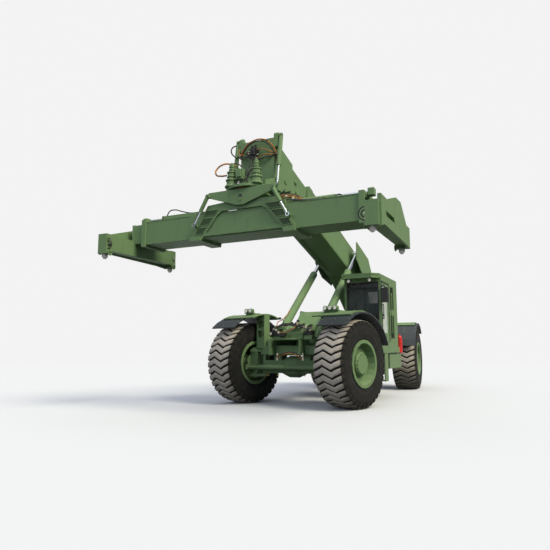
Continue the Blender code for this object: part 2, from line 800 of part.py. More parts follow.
def capped(thing):
    """Close the open ends of a turned shape."""
    shape = bmesh.new()
    shape.from_mesh(thing.data)
    edges = [edge for edge in shape.edges if edge.is_boundary]
    bmesh.ops.holes_fill(shape, edges=edges)
    bmesh.ops.recalc_face_normals(shape, faces=shape.faces)
    shape.to_mesh(thing.data)
    shape.free()
    return thing


def steer_barrel():
    """Double-ended steering cylinder across the axle's front, bored for its rod."""
    place = Vector((0, STEER_CYL_Y, -STEER_CYL_DROP))
    end = Vector((STEER_CYL_HALF, 0, 0))
    past = Vector((STEER_CYL_HALF + OVERRUN, 0, 0))
    body = round_bar(STEER_CYL_RADIUS, place - end, place + end, PIN_SEGMENTS)
    bore = round_bar(STEER_ROD_RADIUS + SLIP_GAP, place - past, place + past, PIN_SEGMENTS)
    return cut(body, bore)


def steer_rod(left, right):
    """Rod through the steering cylinder, with an eye at each knuckle's arm."""
    shaft = round_bar(STEER_ROD_RADIUS, (right, 0, 0), (left, 0, 0), PIN_SEGMENTS)
    eyes = [round_bar(STEER_EYE_RADIUS, (x, 0, -STEER_EYE_HALF), (x, 0, STEER_EYE_HALF),
                      CAP_SEGMENTS)
            for x in (left, right)]
    return union(shaft, *eyes)


# Chassis.

def main_frame():
    """Two side plates with cross members, the front saddle and the boom's rear towers."""
    half, wall = FRAME_HALF_WIDTH, FRAME_PLATE
    foot = FOOT_RADIUS
    side_outline = [(-FRAME_FRONT, FRAME_BOTTOM), (FRAME_REAR, FRAME_BOTTOM),
                    (FRAME_REAR, FRAME_TOP), (foot * 2, FRAME_TOP)]
    side_outline += arc((LIFT_BASE_Y, LIFT_BASE_Z), foot, 30, 150, 3)
    side_outline += [(-FRAME_FRONT, FRAME_TOP)]
    pieces = [plate("YZ", [side_outline], low, low + wall) for low in (-half, half - wall)]
    inside = half - wall + LAP
    for y in CROSS_PLACES:
        pieces.append(block(-inside, inside, y, y + CROSS_DEPTH, FRAME_BOTTOM + LAP,
                            FRAME_TOP - LAP))
    apron = [(-APRON_HALF_BOTTOM, FRAME_BOTTOM + LAP), (APRON_HALF_BOTTOM, FRAME_BOTTOM + LAP),
             (APRON_HALF_TOP, APRON_TOP), (-APRON_HALF_TOP, APRON_TOP)]
    for y in (-APRON_HALF_DEPTH, APRON_HALF_DEPTH - APRON_PLATE):
        pieces.append(plate("XZ", [apron], y, y + APRON_PLATE))
    foot_outline = [(-foot, APRON_TOP - foot), (foot, APRON_TOP - foot), (foot, LIFT_BASE_Z)]
    foot_outline += arc((LIFT_BASE_Y, LIFT_BASE_Z), foot, 0, 180, 5)[1:]
    tower = [(TOWER_FRONT, FRAME_BOTTOM + LAP), (TOWER_REAR, FRAME_BOTTOM + LAP),
             (TOWER_REAR, FRAME_TOP)]
    tower += arc((BOOM_PIVOT_Y, BOOM_PIVOT_Z), TOWER_RADIUS, 0, 180, 8)
    tower += [(TOWER_FRONT, FRAME_TOP)]
    for side in (-1, 1):
        ear = sorted((side * (WING_HALF_WIDTH - FOOT_PLATE), side * WING_HALF_WIDTH))
        pieces.append(plate("YZ", [foot_outline], *ear))
        shelf = sorted((side * (half - LAP), side * (WING_HALF_WIDTH - LAP)))
        pieces.append(block(*shelf, -APRON_HALF_DEPTH + LAP, APRON_HALF_DEPTH - LAP,
                            APRON_TOP - foot - FOOT_PLATE, APRON_TOP - foot + LAP))
        pin = sorted((side * (half - LAP), side * (WING_HALF_WIDTH - LAP)))
        pieces.append(round_bar(FOOT_PIN_RADIUS, (pin[0], LIFT_BASE_Y, LIFT_BASE_Z),
                                (pin[1], LIFT_BASE_Y, LIFT_BASE_Z), PIN_SEGMENTS))
        hub = sorted((side * (half - LAP), side * (LIFT_X - LIFT_EYE_HALF - SLIP_GAP)))
        pieces.append(round_bar(FOOT_HUB_RADIUS, (hub[0], LIFT_BASE_Y, LIFT_BASE_Z),
                                (hub[1], LIFT_BASE_Y, LIFT_BASE_Z), CAP_SEGMENTS))
        wall_x = sorted((side * TOWER_INNER, side * (TOWER_INNER + TOWER_PLATE)))
        pieces.append(plate("YZ", [tower], *wall_x))
        spacer = sorted((side * (half - LAP), side * (TOWER_INNER + LAP)))
        pieces.append(block(*spacer, TOWER_FRONT + LAP, TOWER_REAR - LAP,
                            FRAME_BOTTOM + 2 * LAP, FRAME_TOP - LAP))
        boss = sorted((side * (TOWER_INNER + LAP), side * (TOWER_INNER + TOWER_PLATE + TOWER_BOSS)))
        pieces.append(round_bar(TOWER_BOSS_RADIUS, (boss[0], BOOM_PIVOT_Y, BOOM_PIVOT_Z),
                                (boss[1], BOOM_PIVOT_Y, BOOM_PIVOT_Z), PIN_SEGMENTS))
    reach = TOWER_INNER + TOWER_PLATE + TOWER_BOSS + OVERRUN
    hole = round_bar(BOOM_PIN_RADIUS + PIN_PLAY, (-reach, BOOM_PIVOT_Y, BOOM_PIVOT_Z),
                     (reach, BOOM_PIVOT_Y, BOOM_PIVOT_Z), BOOM_PIN_SEGMENTS)
    return cut(union(*pieces), hole)


def valve_tower():
    """Closed housing of the valves between the lift cylinders, stepped and sloped."""
    low = FRAME_TOP - LAP + SEAT_GAP
    outline = [(-0.30, low), (1.45, low), (1.45, 2.32), (1.18, 2.32), (0.75, 1.95),
               (0.20, 1.95), (-0.30, 1.72)]
    return plate("YZ", [outline], -VALVE_HALF_WIDTH, VALVE_HALF_WIDTH)


def platform():
    """Platform that carries the cab, with the fuel tank hung below it and the ladder in front."""
    body = block(FRAME_HALF_WIDTH + SEAT_GAP, PLATFORM_OUT, PLATFORM_FRONT, PLATFORM_REAR,
                 PLATFORM_BOTTOM, PLATFORM_TOP)
    tank = block(TANK_X0, TANK_X1, TANK_Y0, TANK_Y1, TANK_Z0, TANK_Z1)
    hanger = block(TANK_X0 + LAP, TANK_X1 - 3 * OVERRUN, TANK_Y0 + LAP, PLATFORM_REAR - OVERRUN,
                   TANK_Z1 - LAP, PLATFORM_BOTTOM + LAP)
    wall = STEP_TREAD
    ladder = [block(x, x + wall, STEP_Y0, STEP_Y1, STEP_HEIGHTS[0], PLATFORM_BOTTOM + LAP)
              for x in (STEP_X0, PLATFORM_OUT - wall - LAP)]
    ladder += [block(STEP_X0 + LAP, PLATFORM_OUT - 2 * LAP, STEP_Y0 + LAP, STEP_Y1 - LAP,
                     z + LAP, z + wall) for z in STEP_HEIGHTS]
    return union(body, tank, hanger, *ladder)


def hood():
    """Engine hood on the right side, open below."""
    outer = block(HOOD_X0, HOOD_X1, HOOD_Y0, HOOD_Y1, HOOD_Z0, HOOD_Z1)
    inner = block(HOOD_X0 + HOOD_WALL, HOOD_X1 - HOOD_WALL, HOOD_Y0 + HOOD_WALL,
                  HOOD_Y1 - HOOD_WALL, HOOD_Z0 - OVERRUN, HOOD_Z1 - HOOD_WALL)
    shell = cut(outer, inner)
    arms = [block(HOOD_X1 - LAP, -FRAME_HALF_WIDTH - SEAT_GAP, y, y + CROSS_DEPTH,
                  FRAME_BOTTOM, FRAME_TOP) for y in (CROSS_PLACES[1], CROSS_PLACES[2])]
    return union(shell, *arms)


def engine():
    """Engine, one plain block hung from the frame's right side."""
    y = (HOOD_Y0 + HOOD_Y1 - ENGINE_LENGTH) / 2
    return block(HOOD_X0 + ENGINE_MARGIN, HOOD_X1 - ENGINE_MARGIN, y, y + ENGINE_LENGTH,
                 HOOD_Z0 + HOOD_WALL, HOOD_Z1 - HOOD_WALL - SEAT_GAP)


def radiator():
    """Radiator housing on the frame behind the boom's pivot."""
    return block(-RADIATOR_HALF_WIDTH, RADIATOR_HALF_WIDTH, RADIATOR_Y0, RADIATOR_Y1,
                 FRAME_TOP + SEAT_GAP, RADIATOR_TOP)


def counterweight():
    """Rear weight across the frame's end."""
    y0 = FRAME_REAR + SEAT_GAP
    outline = rounded(-WEIGHT_HALF_WIDTH, WEIGHT_HALF_WIDTH, WEIGHT_BOTTOM, WEIGHT_TOP, 0.12)
    return plate("XZ", [outline], y0, REAR_REACH)


def handrails():
    """Two hoop rails on the right deck, on one foot strip."""
    z = HOOD_Z1 + SEAT_GAP
    strip = block(HOOD_X0 + 0.04, HOOD_X0 + 0.10, 3.55, 4.60, z, z + 0.02)
    hoops = []
    for y0 in (3.60, 4.12):
        x = HOOD_X0 + 0.07
        y1 = y0 + 0.42
        top = z + RAIL_HEIGHT
        bend = 0.06
        points = [(x, y0, z + 0.01), (x, y0, top - bend), (x, y0 + bend, top),
                  (x, y1 - bend, top), (x, y1, top - bend), (x, y1, z + 0.01)]
        hoops.append(tube(points, RAIL_RADIUS))
    return union(strip, *hoops)


# Cab.

def cab_shell():
    """Cab body: one hollow shell with its windows and doorway cut."""
    outer = block(CAB_X0, CAB_X1, CAB_Y0, CAB_Y1, PLATFORM_TOP + SEAT_GAP, CAB_Z1)
    wall = CAB_WALL
    inner = block(CAB_X0 + wall, CAB_X1 - wall, CAB_Y0 + wall, CAB_Y1 - wall, CAB_Z0 + wall,
                  CAB_Z1 - wall)
    screen = block(CAB_X0 + wall * 1.2, CAB_X1 - wall * 1.2, CAB_Y0 - OVERRUN,
                   CAB_Y0 + wall + OVERRUN, SCREEN_LOW, SCREEN_HIGH)
    rear = block(CAB_X0 + wall * 2, CAB_X1 - wall * 2, CAB_Y1 - wall - OVERRUN,
                 CAB_Y1 + OVERRUN, SCREEN_LOW + wall, SCREEN_HIGH - wall)
    right = block(CAB_X0 - OVERRUN, CAB_X0 + wall + OVERRUN, CAB_Y0 + wall * 2,
                  CAB_Y1 - wall * 3, SCREEN_LOW, SCREEN_HIGH)
    door = block(CAB_X1 - wall - OVERRUN, CAB_X1 + OVERRUN, DOOR_FRONT, DOOR_REAR, DOOR_LOW,
                 DOOR_HIGH)
    slots = [block(CAB_X1 - wall - OVERRUN, CAB_X1 + OVERRUN, SLOT_FRONT, SLOT_REAR, low,
                   low + SLOT_HEIGHT) for low in SLOT_LOWS]
    return cut(outer, inner, screen, rear, right, door, *slots)


def door_frame():
    """Door in the cab's left side, in a frame at its hinge, with its window cut."""
    play = DOOR_PLAY
    x0, x1 = CAB_X1 - CAB_WALL, CAB_X1
    rear = DOOR_REAR - SLIP_GAP
    outline = [(DOOR_FRONT + play, DOOR_LOW + play), (rear, DOOR_LOW + play),
               (rear, DOOR_HIGH - play), (DOOR_FRONT + play, DOOR_HIGH - play)]
    rail = 0.07
    window = [(DOOR_FRONT + rail, DOOR_SILL), (DOOR_REAR - rail, DOOR_SILL),
              (DOOR_REAR - rail, DOOR_HIGH - rail), (DOOR_FRONT + rail, DOOR_HIGH - rail)]
    return plate("YZ", [outline, window], x0, x1)


def glazing():
    """Fixed glass inside the cab's front, right and rear walls, bent as one sheet."""
    inset = CAB_WALL + SEAT_GAP
    x0, x1 = CAB_X0 + inset, CAB_X1 - inset
    y0, y1 = CAB_Y0 + inset, CAB_Y1 - inset
    outline = [(x1, y0), (x1, y0 + GLASS), (x0 + GLASS, y0 + GLASS), (x0 + GLASS, y1 - GLASS),
               (x1, y1 - GLASS), (x1, y1), (x0, y1), (x0, y0)]
    return plate("XY", [outline], SCREEN_LOW - GLASS_LAP, SCREEN_HIGH + GLASS_LAP)


def visor():
    """Slatted guard over the windscreen and roof plate."""
    z = CAB_Z1 + SEAT_GAP
    front = CAB_Y0 - VISOR_REACH
    roof = [(CAB_X0, CAB_Y1), (CAB_X0, front), (CAB_X1 - CAB_CHAMFER, front),
            (CAB_X1, front + CAB_CHAMFER), (CAB_X1, CAB_Y1)]
    window = [(CAB_X0 + 0.05, CAB_Y0 - 0.03), (CAB_X0 + 0.05, front + 0.04),
              (CAB_X1 - 0.18, front + 0.04), (CAB_X1 - 0.06, front + 0.17),
              (CAB_X1 - 0.06, CAB_Y0 - 0.03)]
    sheet = plate("XY", [roof, window], z, z + VISOR_BAR)
    span = CAB_Y0 - 0.03 - (front + 0.04)
    slats = []
    for i in range(VISOR_SLATS):
        y = front + 0.04 + span * (i + 0.5) / VISOR_SLATS
        slats.append(block(CAB_X0 + 0.04, CAB_X1 - 0.05 - max(0, 0.12 - i * 0.05), y, y + 0.012,
                           z + LAP / 2, z + VISOR_BAR - LAP / 2))
    return union(sheet, *slats)


def seat():
    """Operator's seat: cushion, back and pedestal."""
    x = (CAB_X0 + CAB_X1) / 2
    floor = CAB_Z0 + CAB_WALL + SEAT_GAP
    return union(
        block(x - 0.16, x + 0.16, 2.45, 2.80, floor, 1.86),
        block(x - 0.25, x + 0.25, 2.35, 2.86, 1.84, 1.98),
        bar((x, 2.84, 1.94), (x, 3.00, 2.62), 0.48, 0.12),
    )


def dash():
    """Steering column and wheel with its console."""
    x = (CAB_X0 + CAB_X1) / 2
    floor = CAB_Z0 + CAB_WALL + SEAT_GAP
    console = block(x - 0.20, x + 0.20, 1.62, 1.84, floor, 1.95)
    column = round_bar(0.03, (x, 1.78, 1.90), (x, 2.02, 2.22), 12)
    wheel = turned([(0.20, 0.012), (0.20, -0.012), (0.165, -0.012), (0.165, 0.012)], 20)
    spoke = bar((0, -0.18, 0), (0, 0.18, 0), 0.02, 0.03)
    wheel = union(wheel, spoke)
    turn = Vector((0, 0.24, 0.32)).to_track_quat("X", "Z").to_matrix().to_4x4()
    wheel.data.transform(Matrix.Translation((x, 2.01, 2.21)) @ turn)
    return union(console, column, wheel)


# Boom.

def outer_boom():
    """Gooseneck boom in its side view, hollow for the inner boom, with the lift pin's wings."""
    top, bottom, knee, throat = BOOM_TOP, BOOM_BOTTOM, BOOM_KNEE, BOOM_THROAT
    neck = knee * 0.54
    outline = [(BOOM_END, bottom), (BOOM_END, top), (knee, top), (knee * 0.72, top * 0.975),
               (neck, top * 0.75), (BOOM_BOSS_RADIUS, BOOM_BOSS_RADIUS * 0.8)]
    outline += arc((0, 0), BOOM_BOSS_RADIUS, 80, 300, 10)
    outline += [(throat * 0.7, bottom * 0.6), (throat, bottom)]
    body = boom_plate([outline], -BOOM_HALF_WIDTH, BOOM_HALF_WIDTH)
    wall = BOOM_WALL
    half = BOOM_HALF_WIDTH - wall
    tunnel = block(-half, half, -BOOM_END - OVERRUN, -TUNNEL_ROOT, bottom + wall, top - wall)
    body = cut(body, tunnel)
    s0, s1 = BOOM_END - PAD_LENGTH, BOOM_END - LAP
    collar = block(-half - LAP, half + LAP, -s1, -s0, bottom + wall - LAP, top - wall + LAP)
    window = block(-INNER_HALF_WIDTH - SEAT_GAP, INNER_HALF_WIDTH + SEAT_GAP,
                   -s1 - OVERRUN, -s0 + OVERRUN, INNER_BOTTOM - SEAT_GAP, INNER_TOP + SEAT_GAP)
    pieces = [cut(collar, window)]
    s, t = LIFT_PIN_S, LIFT_PIN_T
    wing = [(s + 0.42, top), (s - 0.86, top), (neck, top * 0.75), (neck + 0.1, bottom + 0.1),
            (s - 0.35, bottom + 0.03), (s + 0.30, bottom + 0.25)]
    for side in (-1, 1):
        skin = sorted((side * (WING_HALF_WIDTH - WING_PLATE), side * WING_HALF_WIDTH))
        web = sorted((side * (BOOM_HALF_WIDTH - LAP), side * (WING_HALF_WIDTH - LAP)))
        pieces.append(boom_plate([wing], *skin))
        rib = WING_RIB
        flange = [(s - 0.24, top - rib), (s - 0.24, top - LAP), (s - 0.85, top - LAP),
                  (neck + LAP, top * 0.75), (neck + LAP + rib, top * 0.75),
                  (s - 0.85 + rib, top - rib)]
        pieces.append(boom_plate([flange], *web))
    pin = round_bar(BOOM_PIN_RADIUS, (-BOOM_PIN_HALF, 0, 0), (BOOM_PIN_HALF, 0, 0),
                    BOOM_PIN_SEGMENTS)
    reach = TOWER_INNER - SLIP_GAP
    hub = round_bar(BOOM_HUB_RADIUS, (-reach, 0, 0), (reach, 0, 0), PIN_SEGMENTS)
    return union(body, pin, hub, *pieces)


def inner_boom():
    """Telescoping section with its rear pads and the nose that carries the head."""
    half = INNER_HALF_WIDTH
    wall = BOOM_WALL
    tube_body = block(-half, half, -INNER_END, -INNER_ROOT, INNER_BOTTOM, INNER_TOP)
    pad_x = BOOM_HALF_WIDTH - BOOM_WALL - SEAT_GAP
    pads = block(-pad_x, pad_x, -INNER_ROOT - PAD_LENGTH, -INNER_ROOT - LAP,
                 BOOM_BOTTOM + BOOM_WALL + SEAT_GAP, BOOM_TOP - BOOM_WALL - SEAT_GAP)
    corners = [(NOSE_FACE_Y, NOSE_TOP_Z), (NOSE_FACE_Y, NOSE_CHIN_Z),
               (NOSE_THROAT_Y, NOSE_CHIN_Z), (NOSE_ROOT_Y, NOSE_CHIN_Z + 0.14),
               (NOSE_ROOT_Y, NOSE_TOP_Z - 0.30)]
    nose = boom_plate([[machine_to_boom(*corner) for corner in corners]],
                      -NOSE_HALF_WIDTH, NOSE_HALF_WIDTH)
    pin_s, pin_t = machine_to_boom(HEAD_PIN_Y, HEAD_PIN_Z)
    reach = HEAD_EAR_INNER + HEAD_EAR_PLATE + OVERRUN
    pieces = [nose, round_bar(HEAD_PIN_RADIUS, (-reach, -pin_s, pin_t), (reach, -pin_s, pin_t),
                              PIN_SEGMENTS)]
    top_s, top_t = machine_to_boom(TILT_TOP_Y, TILT_TOP_Z)
    ear = arc((top_s, top_t), TILT_EAR, -30, 210, 8)
    ear += [(top_s - TILT_EAR * 1.6, top_t - TILT_EAR * 4), (top_s, top_t - TILT_EAR * 4)]
    for side in (-1, 1):
        ear_face = TILT_X - TILT_BARREL_RADIUS - RUNNING_GAP
        web = sorted((side * (NOSE_HALF_WIDTH - 2 * LAP), side * ear_face))
        pieces.append(boom_plate([ear], *web))
        hub = sorted((side * (ear_face - LAP), side * (TILT_X - TILT_EYE_HALF - SLIP_GAP)))
        pieces.append(round_bar(TILT_HUB_RADIUS, (hub[0], -top_s, top_t), (hub[1], -top_s, top_t),
                                CAP_SEGMENTS))
        hub = sorted((side * (NOSE_HALF_WIDTH - LAP), side * (HEAD_EAR_INNER - SLIP_GAP)))
        pieces.append(round_bar(HEAD_HUB_RADIUS, (hub[0], -pin_s, pin_t), (hub[1], -pin_s, pin_t),
                                CAP_SEGMENTS))
        stub = sorted((side * (ear_face - LAP), side * (TILT_X + TILT_EYE_HALF + LAP)))
        pieces.append(round_bar(TILT_PIN_RADIUS, (stub[0], -top_s, top_t),
                                (stub[1], -top_s, top_t), 16))
    hollow = block(-half + wall, half - wall, -BOOM_END, -INNER_ROOT + OVERRUN,
                   INNER_BOTTOM + wall, INNER_TOP - wall)
    return cut(union(tube_body, pads, *pieces), hollow)


def eye_ring(radius, bore, half, axis):
    """A round eye with its bore, at the origin."""
    along = Vector(axis)
    ring = round_bar(radius, -along * half, along * half, PIN_SEGMENTS)
    hole = round_bar(bore, -along * (half + OVERRUN), along * (half + OVERRUN), PIN_SEGMENTS)
    return cut(ring, hole)


def barrel(radius, length, rod, eye_radius, eye_half, bore, axis):
    """Cylinder barrel along +Z from its base eye, bored for its rod."""
    start = (0, 0, eye_radius * 0.8)
    body = round_bar(radius, start, (0, 0, length), BARREL_SEGMENTS)
    neck = bore + LAP
    well = round_bar(rod + SLIP_GAP, (0, 0, neck + eye_radius), (0, 0, length + OVERRUN),
                     CAP_SEGMENTS)
    body = cut(body, well)
    return union(body, eye_ring(eye_radius, bore, eye_half, axis))


def rod(radius, start, eye_place, eye_radius, eye_half, bore, axis):
    """Cylinder rod along +Z, ending in an eye."""
    shaft = round_bar(radius, (0, 0, start), (0, 0, eye_place - (eye_radius + bore) / 2),
                      CAP_SEGMENTS)
    ring = eye_ring(eye_radius, bore, eye_half, axis)
    ring.data.transform(Matrix.Translation((0, 0, eye_place)))
    return union(shaft, ring)


# Head, rotator and spreader, in frames at their joints.

def head():
    """Hanger: ears on the nose's pin, the slew plate and the slew motors."""
    def local(y, z):
        return (y - HEAD_PIN_Y, z - HEAD_PIN_Z)
    top = SLEW_PLATE_TOP - HEAD_PIN_Z
    slew_y = SLEW_Y - HEAD_PIN_Y
    disc = round_bar(SLEW_PLATE_RADIUS, (0, slew_y, top - SLEW_PLATE), (0, slew_y, top), WHEEL_SEGMENTS)
    pieces = []
    ear = arc((0, 0), HEAD_EAR_RADIUS, -60, 120, 8)
    ear += [(slew_y - 0.20, top + 0.10), (slew_y - 0.20, top - SLEW_PLATE + LAP / 2),
            (slew_y + 0.42, top - SLEW_PLATE + LAP / 2)]
    for side in (-1, 1):
        wall = sorted((side * HEAD_EAR_INNER, side * (HEAD_EAR_INNER + HEAD_EAR_PLATE)))
        hole = round_bar(HEAD_PIN_RADIUS + PIN_PLAY, (wall[0] - OVERRUN, 0, 0),
                         (wall[1] + OVERRUN, 0, 0), PIN_SEGMENTS)
        pieces.append(cut(plate("YZ", [ear], *wall), hole))
        lug_y, lug_z = local(TILT_EYE_Y, TILT_EYE_Z)
        lug = [(lug_y - 0.09, top - SLEW_PLATE + LAP), (lug_y + 0.09, top - SLEW_PLATE + LAP),
               (lug_y + 0.05, lug_z + 0.05), (lug_y - 0.05, lug_z + 0.05)]
        outer = sorted((side * (TILT_X + 0.045), side * (TILT_X + 0.07)))
        pieces.append(plate("YZ", [lug], *outer))
        shelf = sorted((side * (HEAD_EAR_INNER - 0.20), side * (TILT_X + 0.06)))
        pieces.append(block(*shelf, lug_y - 0.10, lug_y + 0.10, top - SLEW_PLATE + LAP / 2,
                            top - LAP / 2))
        x = side * MOTOR_X
        y, motor_top = local(MOTOR_Y, MOTOR_TOP)
        stages = ((MOTOR_RADIUS * 1.25, top - LAP, top + 0.16),
                  (MOTOR_RADIUS, top + 0.15, top + 0.34),
                  (MOTOR_RADIUS * 0.6, top + 0.33, motor_top))
        for radius, low, high in stages:
            pieces.append(round_bar(radius, (x, y, low), (x, y, high), CAP_SEGMENTS))
    cross = block(-HEAD_EAR_INNER - LAP, HEAD_EAR_INNER + LAP, slew_y - 0.12, slew_y - 0.08,
                  top - LAP, top + 0.10 - LAP)
    return union(disc, cross, *pieces)


def slew_gear():
    """Ring gear under the slew plate, in the slew frame at the ground."""
    ring = round_bar(GEAR_RADIUS, (0, 0, GEAR_BOTTOM + SEAT_GAP), (0, 0, GEAR_TOP), WHEEL_SEGMENTS)
    hole = round_bar(GEAR_RADIUS - 0.10, (0, 0, GEAR_BOTTOM - OVERRUN),
                     (0, 0, GEAR_TOP + OVERRUN), WHEEL_SEGMENTS)
    return cut(ring, hole)


def slope_stub(x, root, z):
    """A slope cylinder's pin and its shoulder, out of the plate that carries them."""
    middle = SLOPE_CYL_Y - SLEW_Y
    shoulder = middle + SLOPE_EYE_HALF + SLIP_GAP
    return [round_bar(SLOPE_PIN, (x, root, z), (x, middle - SLOPE_EYE_HALF - LAP, z), CAP_SEGMENTS),
            round_bar(SLOPE_HUB, (x, root, z), (x, shoulder, z), CAP_SEGMENTS)]


def rotator():
    """Yoke deck with a winged plate front and rear, and the slope pin."""
    span = YOKE_HALF_SPAN
    y0 = YOKE_FRONT - SLEW_Y
    y1 = -y0
    deck_low = DECK_TOP - DECK_PLATE
    deck = block(-GEAR_RADIUS - 0.04, GEAR_RADIUS + 0.04, y0 + LAP, y1 - LAP, deck_low, DECK_TOP)
    wing = [(-span, DECK_TOP + 0.03), (span, DECK_TOP + 0.03), (span + 0.03, DECK_TOP - 0.03),
            (span, DECK_TOP - 0.08), (0.08, YOKE_APEX_Z), (-0.08, YOKE_APEX_Z),
            (-span, DECK_TOP - 0.08), (-span - 0.03, DECK_TOP - 0.03)]
    pieces = [plate("XZ", [wing], y0, y0 + YOKE_WALL), plate("XZ", [wing], y1 - YOKE_WALL, y1)]
    pieces.append(round_bar(SLOPE_PIN_RADIUS, (0, y0 - LAP, SLOPE_PIN_Z),
                            (0, y1 + LAP, SLOPE_PIN_Z), PIN_SEGMENTS))
    seat_y = BEAM_HALF_DEPTH + TRUSS_PLATE - LAP / 2 + SLIP_GAP
    for side in (-1, 1):
        pieces += slope_stub(side * SLOPE_TOP_X, y0 + LAP, SLOPE_TOP_Z)
        pieces.append(round_bar(SLOPE_PIN_RADIUS + LAP, (0, side * seat_y, SLOPE_PIN_Z),
                                (0, side * (y1 - LAP), SLOPE_PIN_Z), PIN_SEGMENTS))
    return union(deck, *pieces)


def truss_outline():
    """Outer line of the spreader's front truss and its window."""
    pin_z = SLOPE_PIN_Z
    outer = [(-1.25, TRUSS_FOOT), (-0.93, TRUSS_FOOT), (-0.93, BEAM_BOTTOM + 0.03),
             (0.93, BEAM_BOTTOM + 0.03), (0.93, TRUSS_FOOT), (1.25, TRUSS_FOOT),
             (0.82, 4.36), (0.30, 4.40)]
    outer += arc((0, pin_z), 0.10, 0, 180, 6)
    outer += [(-0.30, 4.40), (-0.82, 4.36)]
    window = [(-0.86, 3.78), (0.86, 3.78), (0.56, 4.16)]
    window += arc((0.45, 4.13), 0.08, 30, 90, 3)
    window += arc((-0.45, 4.13), 0.08, 90, 150, 3)
    window += [(-0.56, 4.16)]
    return outer, window


def spreader_frame():
    """Main beam, hollow for the sliding beams, with a truss front and rear and lower tabs."""
    half, depth = BEAM_HALF_LENGTH, BEAM_HALF_DEPTH
    beam = block(-half, half, -depth, depth, BEAM_BOTTOM, BEAM_TOP)
    wall = BEAM_WALL
    middle = (BEAM_BOTTOM + BEAM_TOP) / 2
    high = SLIDE_HALF_HEIGHT + SEAT_GAP
    tunnels = []
    for side in (-1, 1):
        inner = sorted((side * wall / 2, side * (depth - wall)))
        tunnels.append(block(-half - OVERRUN, half + OVERRUN, *inner, middle - high,
                             middle + high))
    pieces = []
    outer, window = truss_outline()
    for y in (-depth - TRUSS_PLATE + LAP / 2, depth - LAP / 2):
        sheet = plate("XZ", [outer, window], y, y + TRUSS_PLATE)
        hole = round_bar(SLOPE_PIN_RADIUS + PIN_PLAY, (0, y - OVERRUN, SLOPE_PIN_Z),
                         (0, y + TRUSS_PLATE + OVERRUN, SLOPE_PIN_Z), PIN_SEGMENTS)
        pieces.append(cut(sheet, hole))
    reach = depth + TRUSS_PLATE
    for side in (-1, 1):
        tab = sorted((side * 0.97, side * 1.22))
        pieces.append(block(*tab, -reach - 0.05, reach + 0.05, TRUSS_FOOT - 0.04,
                            BEAM_BOTTOM + LAP))
        collar = sorted((side * (half - 0.10), side * (half + LAP)))
        band = block(*collar, -depth - 0.04, depth + 0.04, BEAM_BOTTOM - 0.05, BEAM_TOP + 0.05)
        inside = block(collar[0] - OVERRUN, collar[1] + OVERRUN, -depth + LAP, depth - LAP,
                       BEAM_BOTTOM + LAP, BEAM_TOP - LAP)
        pieces.append(cut(band, inside))
        pieces += slope_stub(side * SLOPE_EYE_X, LAP - reach, SLOPE_EYE_Z)
    return cut(union(beam, *pieces), *tunnels)


def slide_beam(side):
    """One sliding beam, beside the other in the main beam; side +1 is the machine's left."""
    middle = (BEAM_BOTTOM + BEAM_TOP) / 2
    xs = sorted((side * (END_INNER + LAP), side * (END_INNER - SLIDE_LENGTH)))
    wall = BEAM_WALL / 2 + RUNNING_GAP
    ys = sorted((side * wall, side * (BEAM_HALF_DEPTH - BEAM_WALL - RUNNING_GAP)))
    high = SLIDE_HALF_HEIGHT
    body = block(*xs, *ys, middle - high, middle + high)
    root = side * (END_INNER - SLIDE_LENGTH - OVERRUN)
    hollow_x = sorted((side * (END_INNER - OVERRUN), root))
    skin = BEAM_WALL
    return cut(body, block(*hollow_x, ys[0] + skin, ys[1] - skin, middle - high + skin,
                           middle + high - skin))


def end_beam(side):
    """Cross beam on a sliding beam's end, with corner housings, twistlocks and outer plate."""
    xs = sorted((side * END_INNER, side * (END_OUTER - 0.04)))
    body = block(*xs, -TWIST_HALF_Y - 0.07, TWIST_HALF_Y + 0.07, 3.44, 3.79)
    skin = sorted((side * (END_OUTER - 0.05), side * END_OUTER))
    profile = [(-1.14, 3.78), (-0.02, 4.13), (0.39, 4.14), (0.87, 3.79), (1.16, 3.79),
               (1.16, 3.36), (0.80, 3.39), (-0.95, 3.42), (-1.14, 3.36)]
    window = [(-0.86, 3.68), (-0.25, 3.69), (-0.18, 3.60), (-0.80, 3.59)]
    sheet = plate("YZ", [profile], *skin)
    hole = plate("YZ", [window], skin[0] - OVERRUN, skin[1] + OVERRUN)
    pieces = [sheet]
    post = sorted((side * END_INNER, side * (END_OUTER - 0.20)))
    pieces.append(block(*post, -BEAM_HALF_DEPTH, BEAM_HALF_DEPTH, 3.60, 4.16))
    for y in (-TWIST_HALF_Y, TWIST_HALF_Y):
        x = side * TWIST_X
        pieces.append(block(min(xs[0], x - 0.10), max(xs[1], x + 0.10), y - CORNER_HALF,
                            y + CORNER_HALF, 3.37, 3.80))
        pieces.append(round_bar(0.045, (x, y, 3.32), (x, y, 3.38), 12))
        pieces.append(round_bar(0.02, (x, y, TWIST_TIP), (x, y, 3.33), 12, 0.06))
    return cut(union(body, *pieces), hole)


# Small pieces.

def extinguisher():
    """Fire bottle on a bracket at the platform's rear corner."""
    x, y = EXTINGUISHER_X, EXTINGUISHER_Y
    low, high = EXTINGUISHER_LOW, EXTINGUISHER_HIGH
    r = EXTINGUISHER_RADIUS
    body = round_bar(r, (x, y, low), (x, y, high - 0.10), 16)
    dome = round_bar(r, (x, y, high - 0.11), (x, y, high - 0.05), 16, r * 0.5)
    valve = round_bar(r * 0.3, (x, y, high - 0.06), (x, y, high), 10)
    hold = block(x - 0.03, x + 0.03, PLATFORM_REAR + SEAT_GAP, y - r + LAP,
                 PLATFORM_BOTTOM + LAP, PLATFORM_TOP - LAP)
    return union(body, dome, valve, hold)


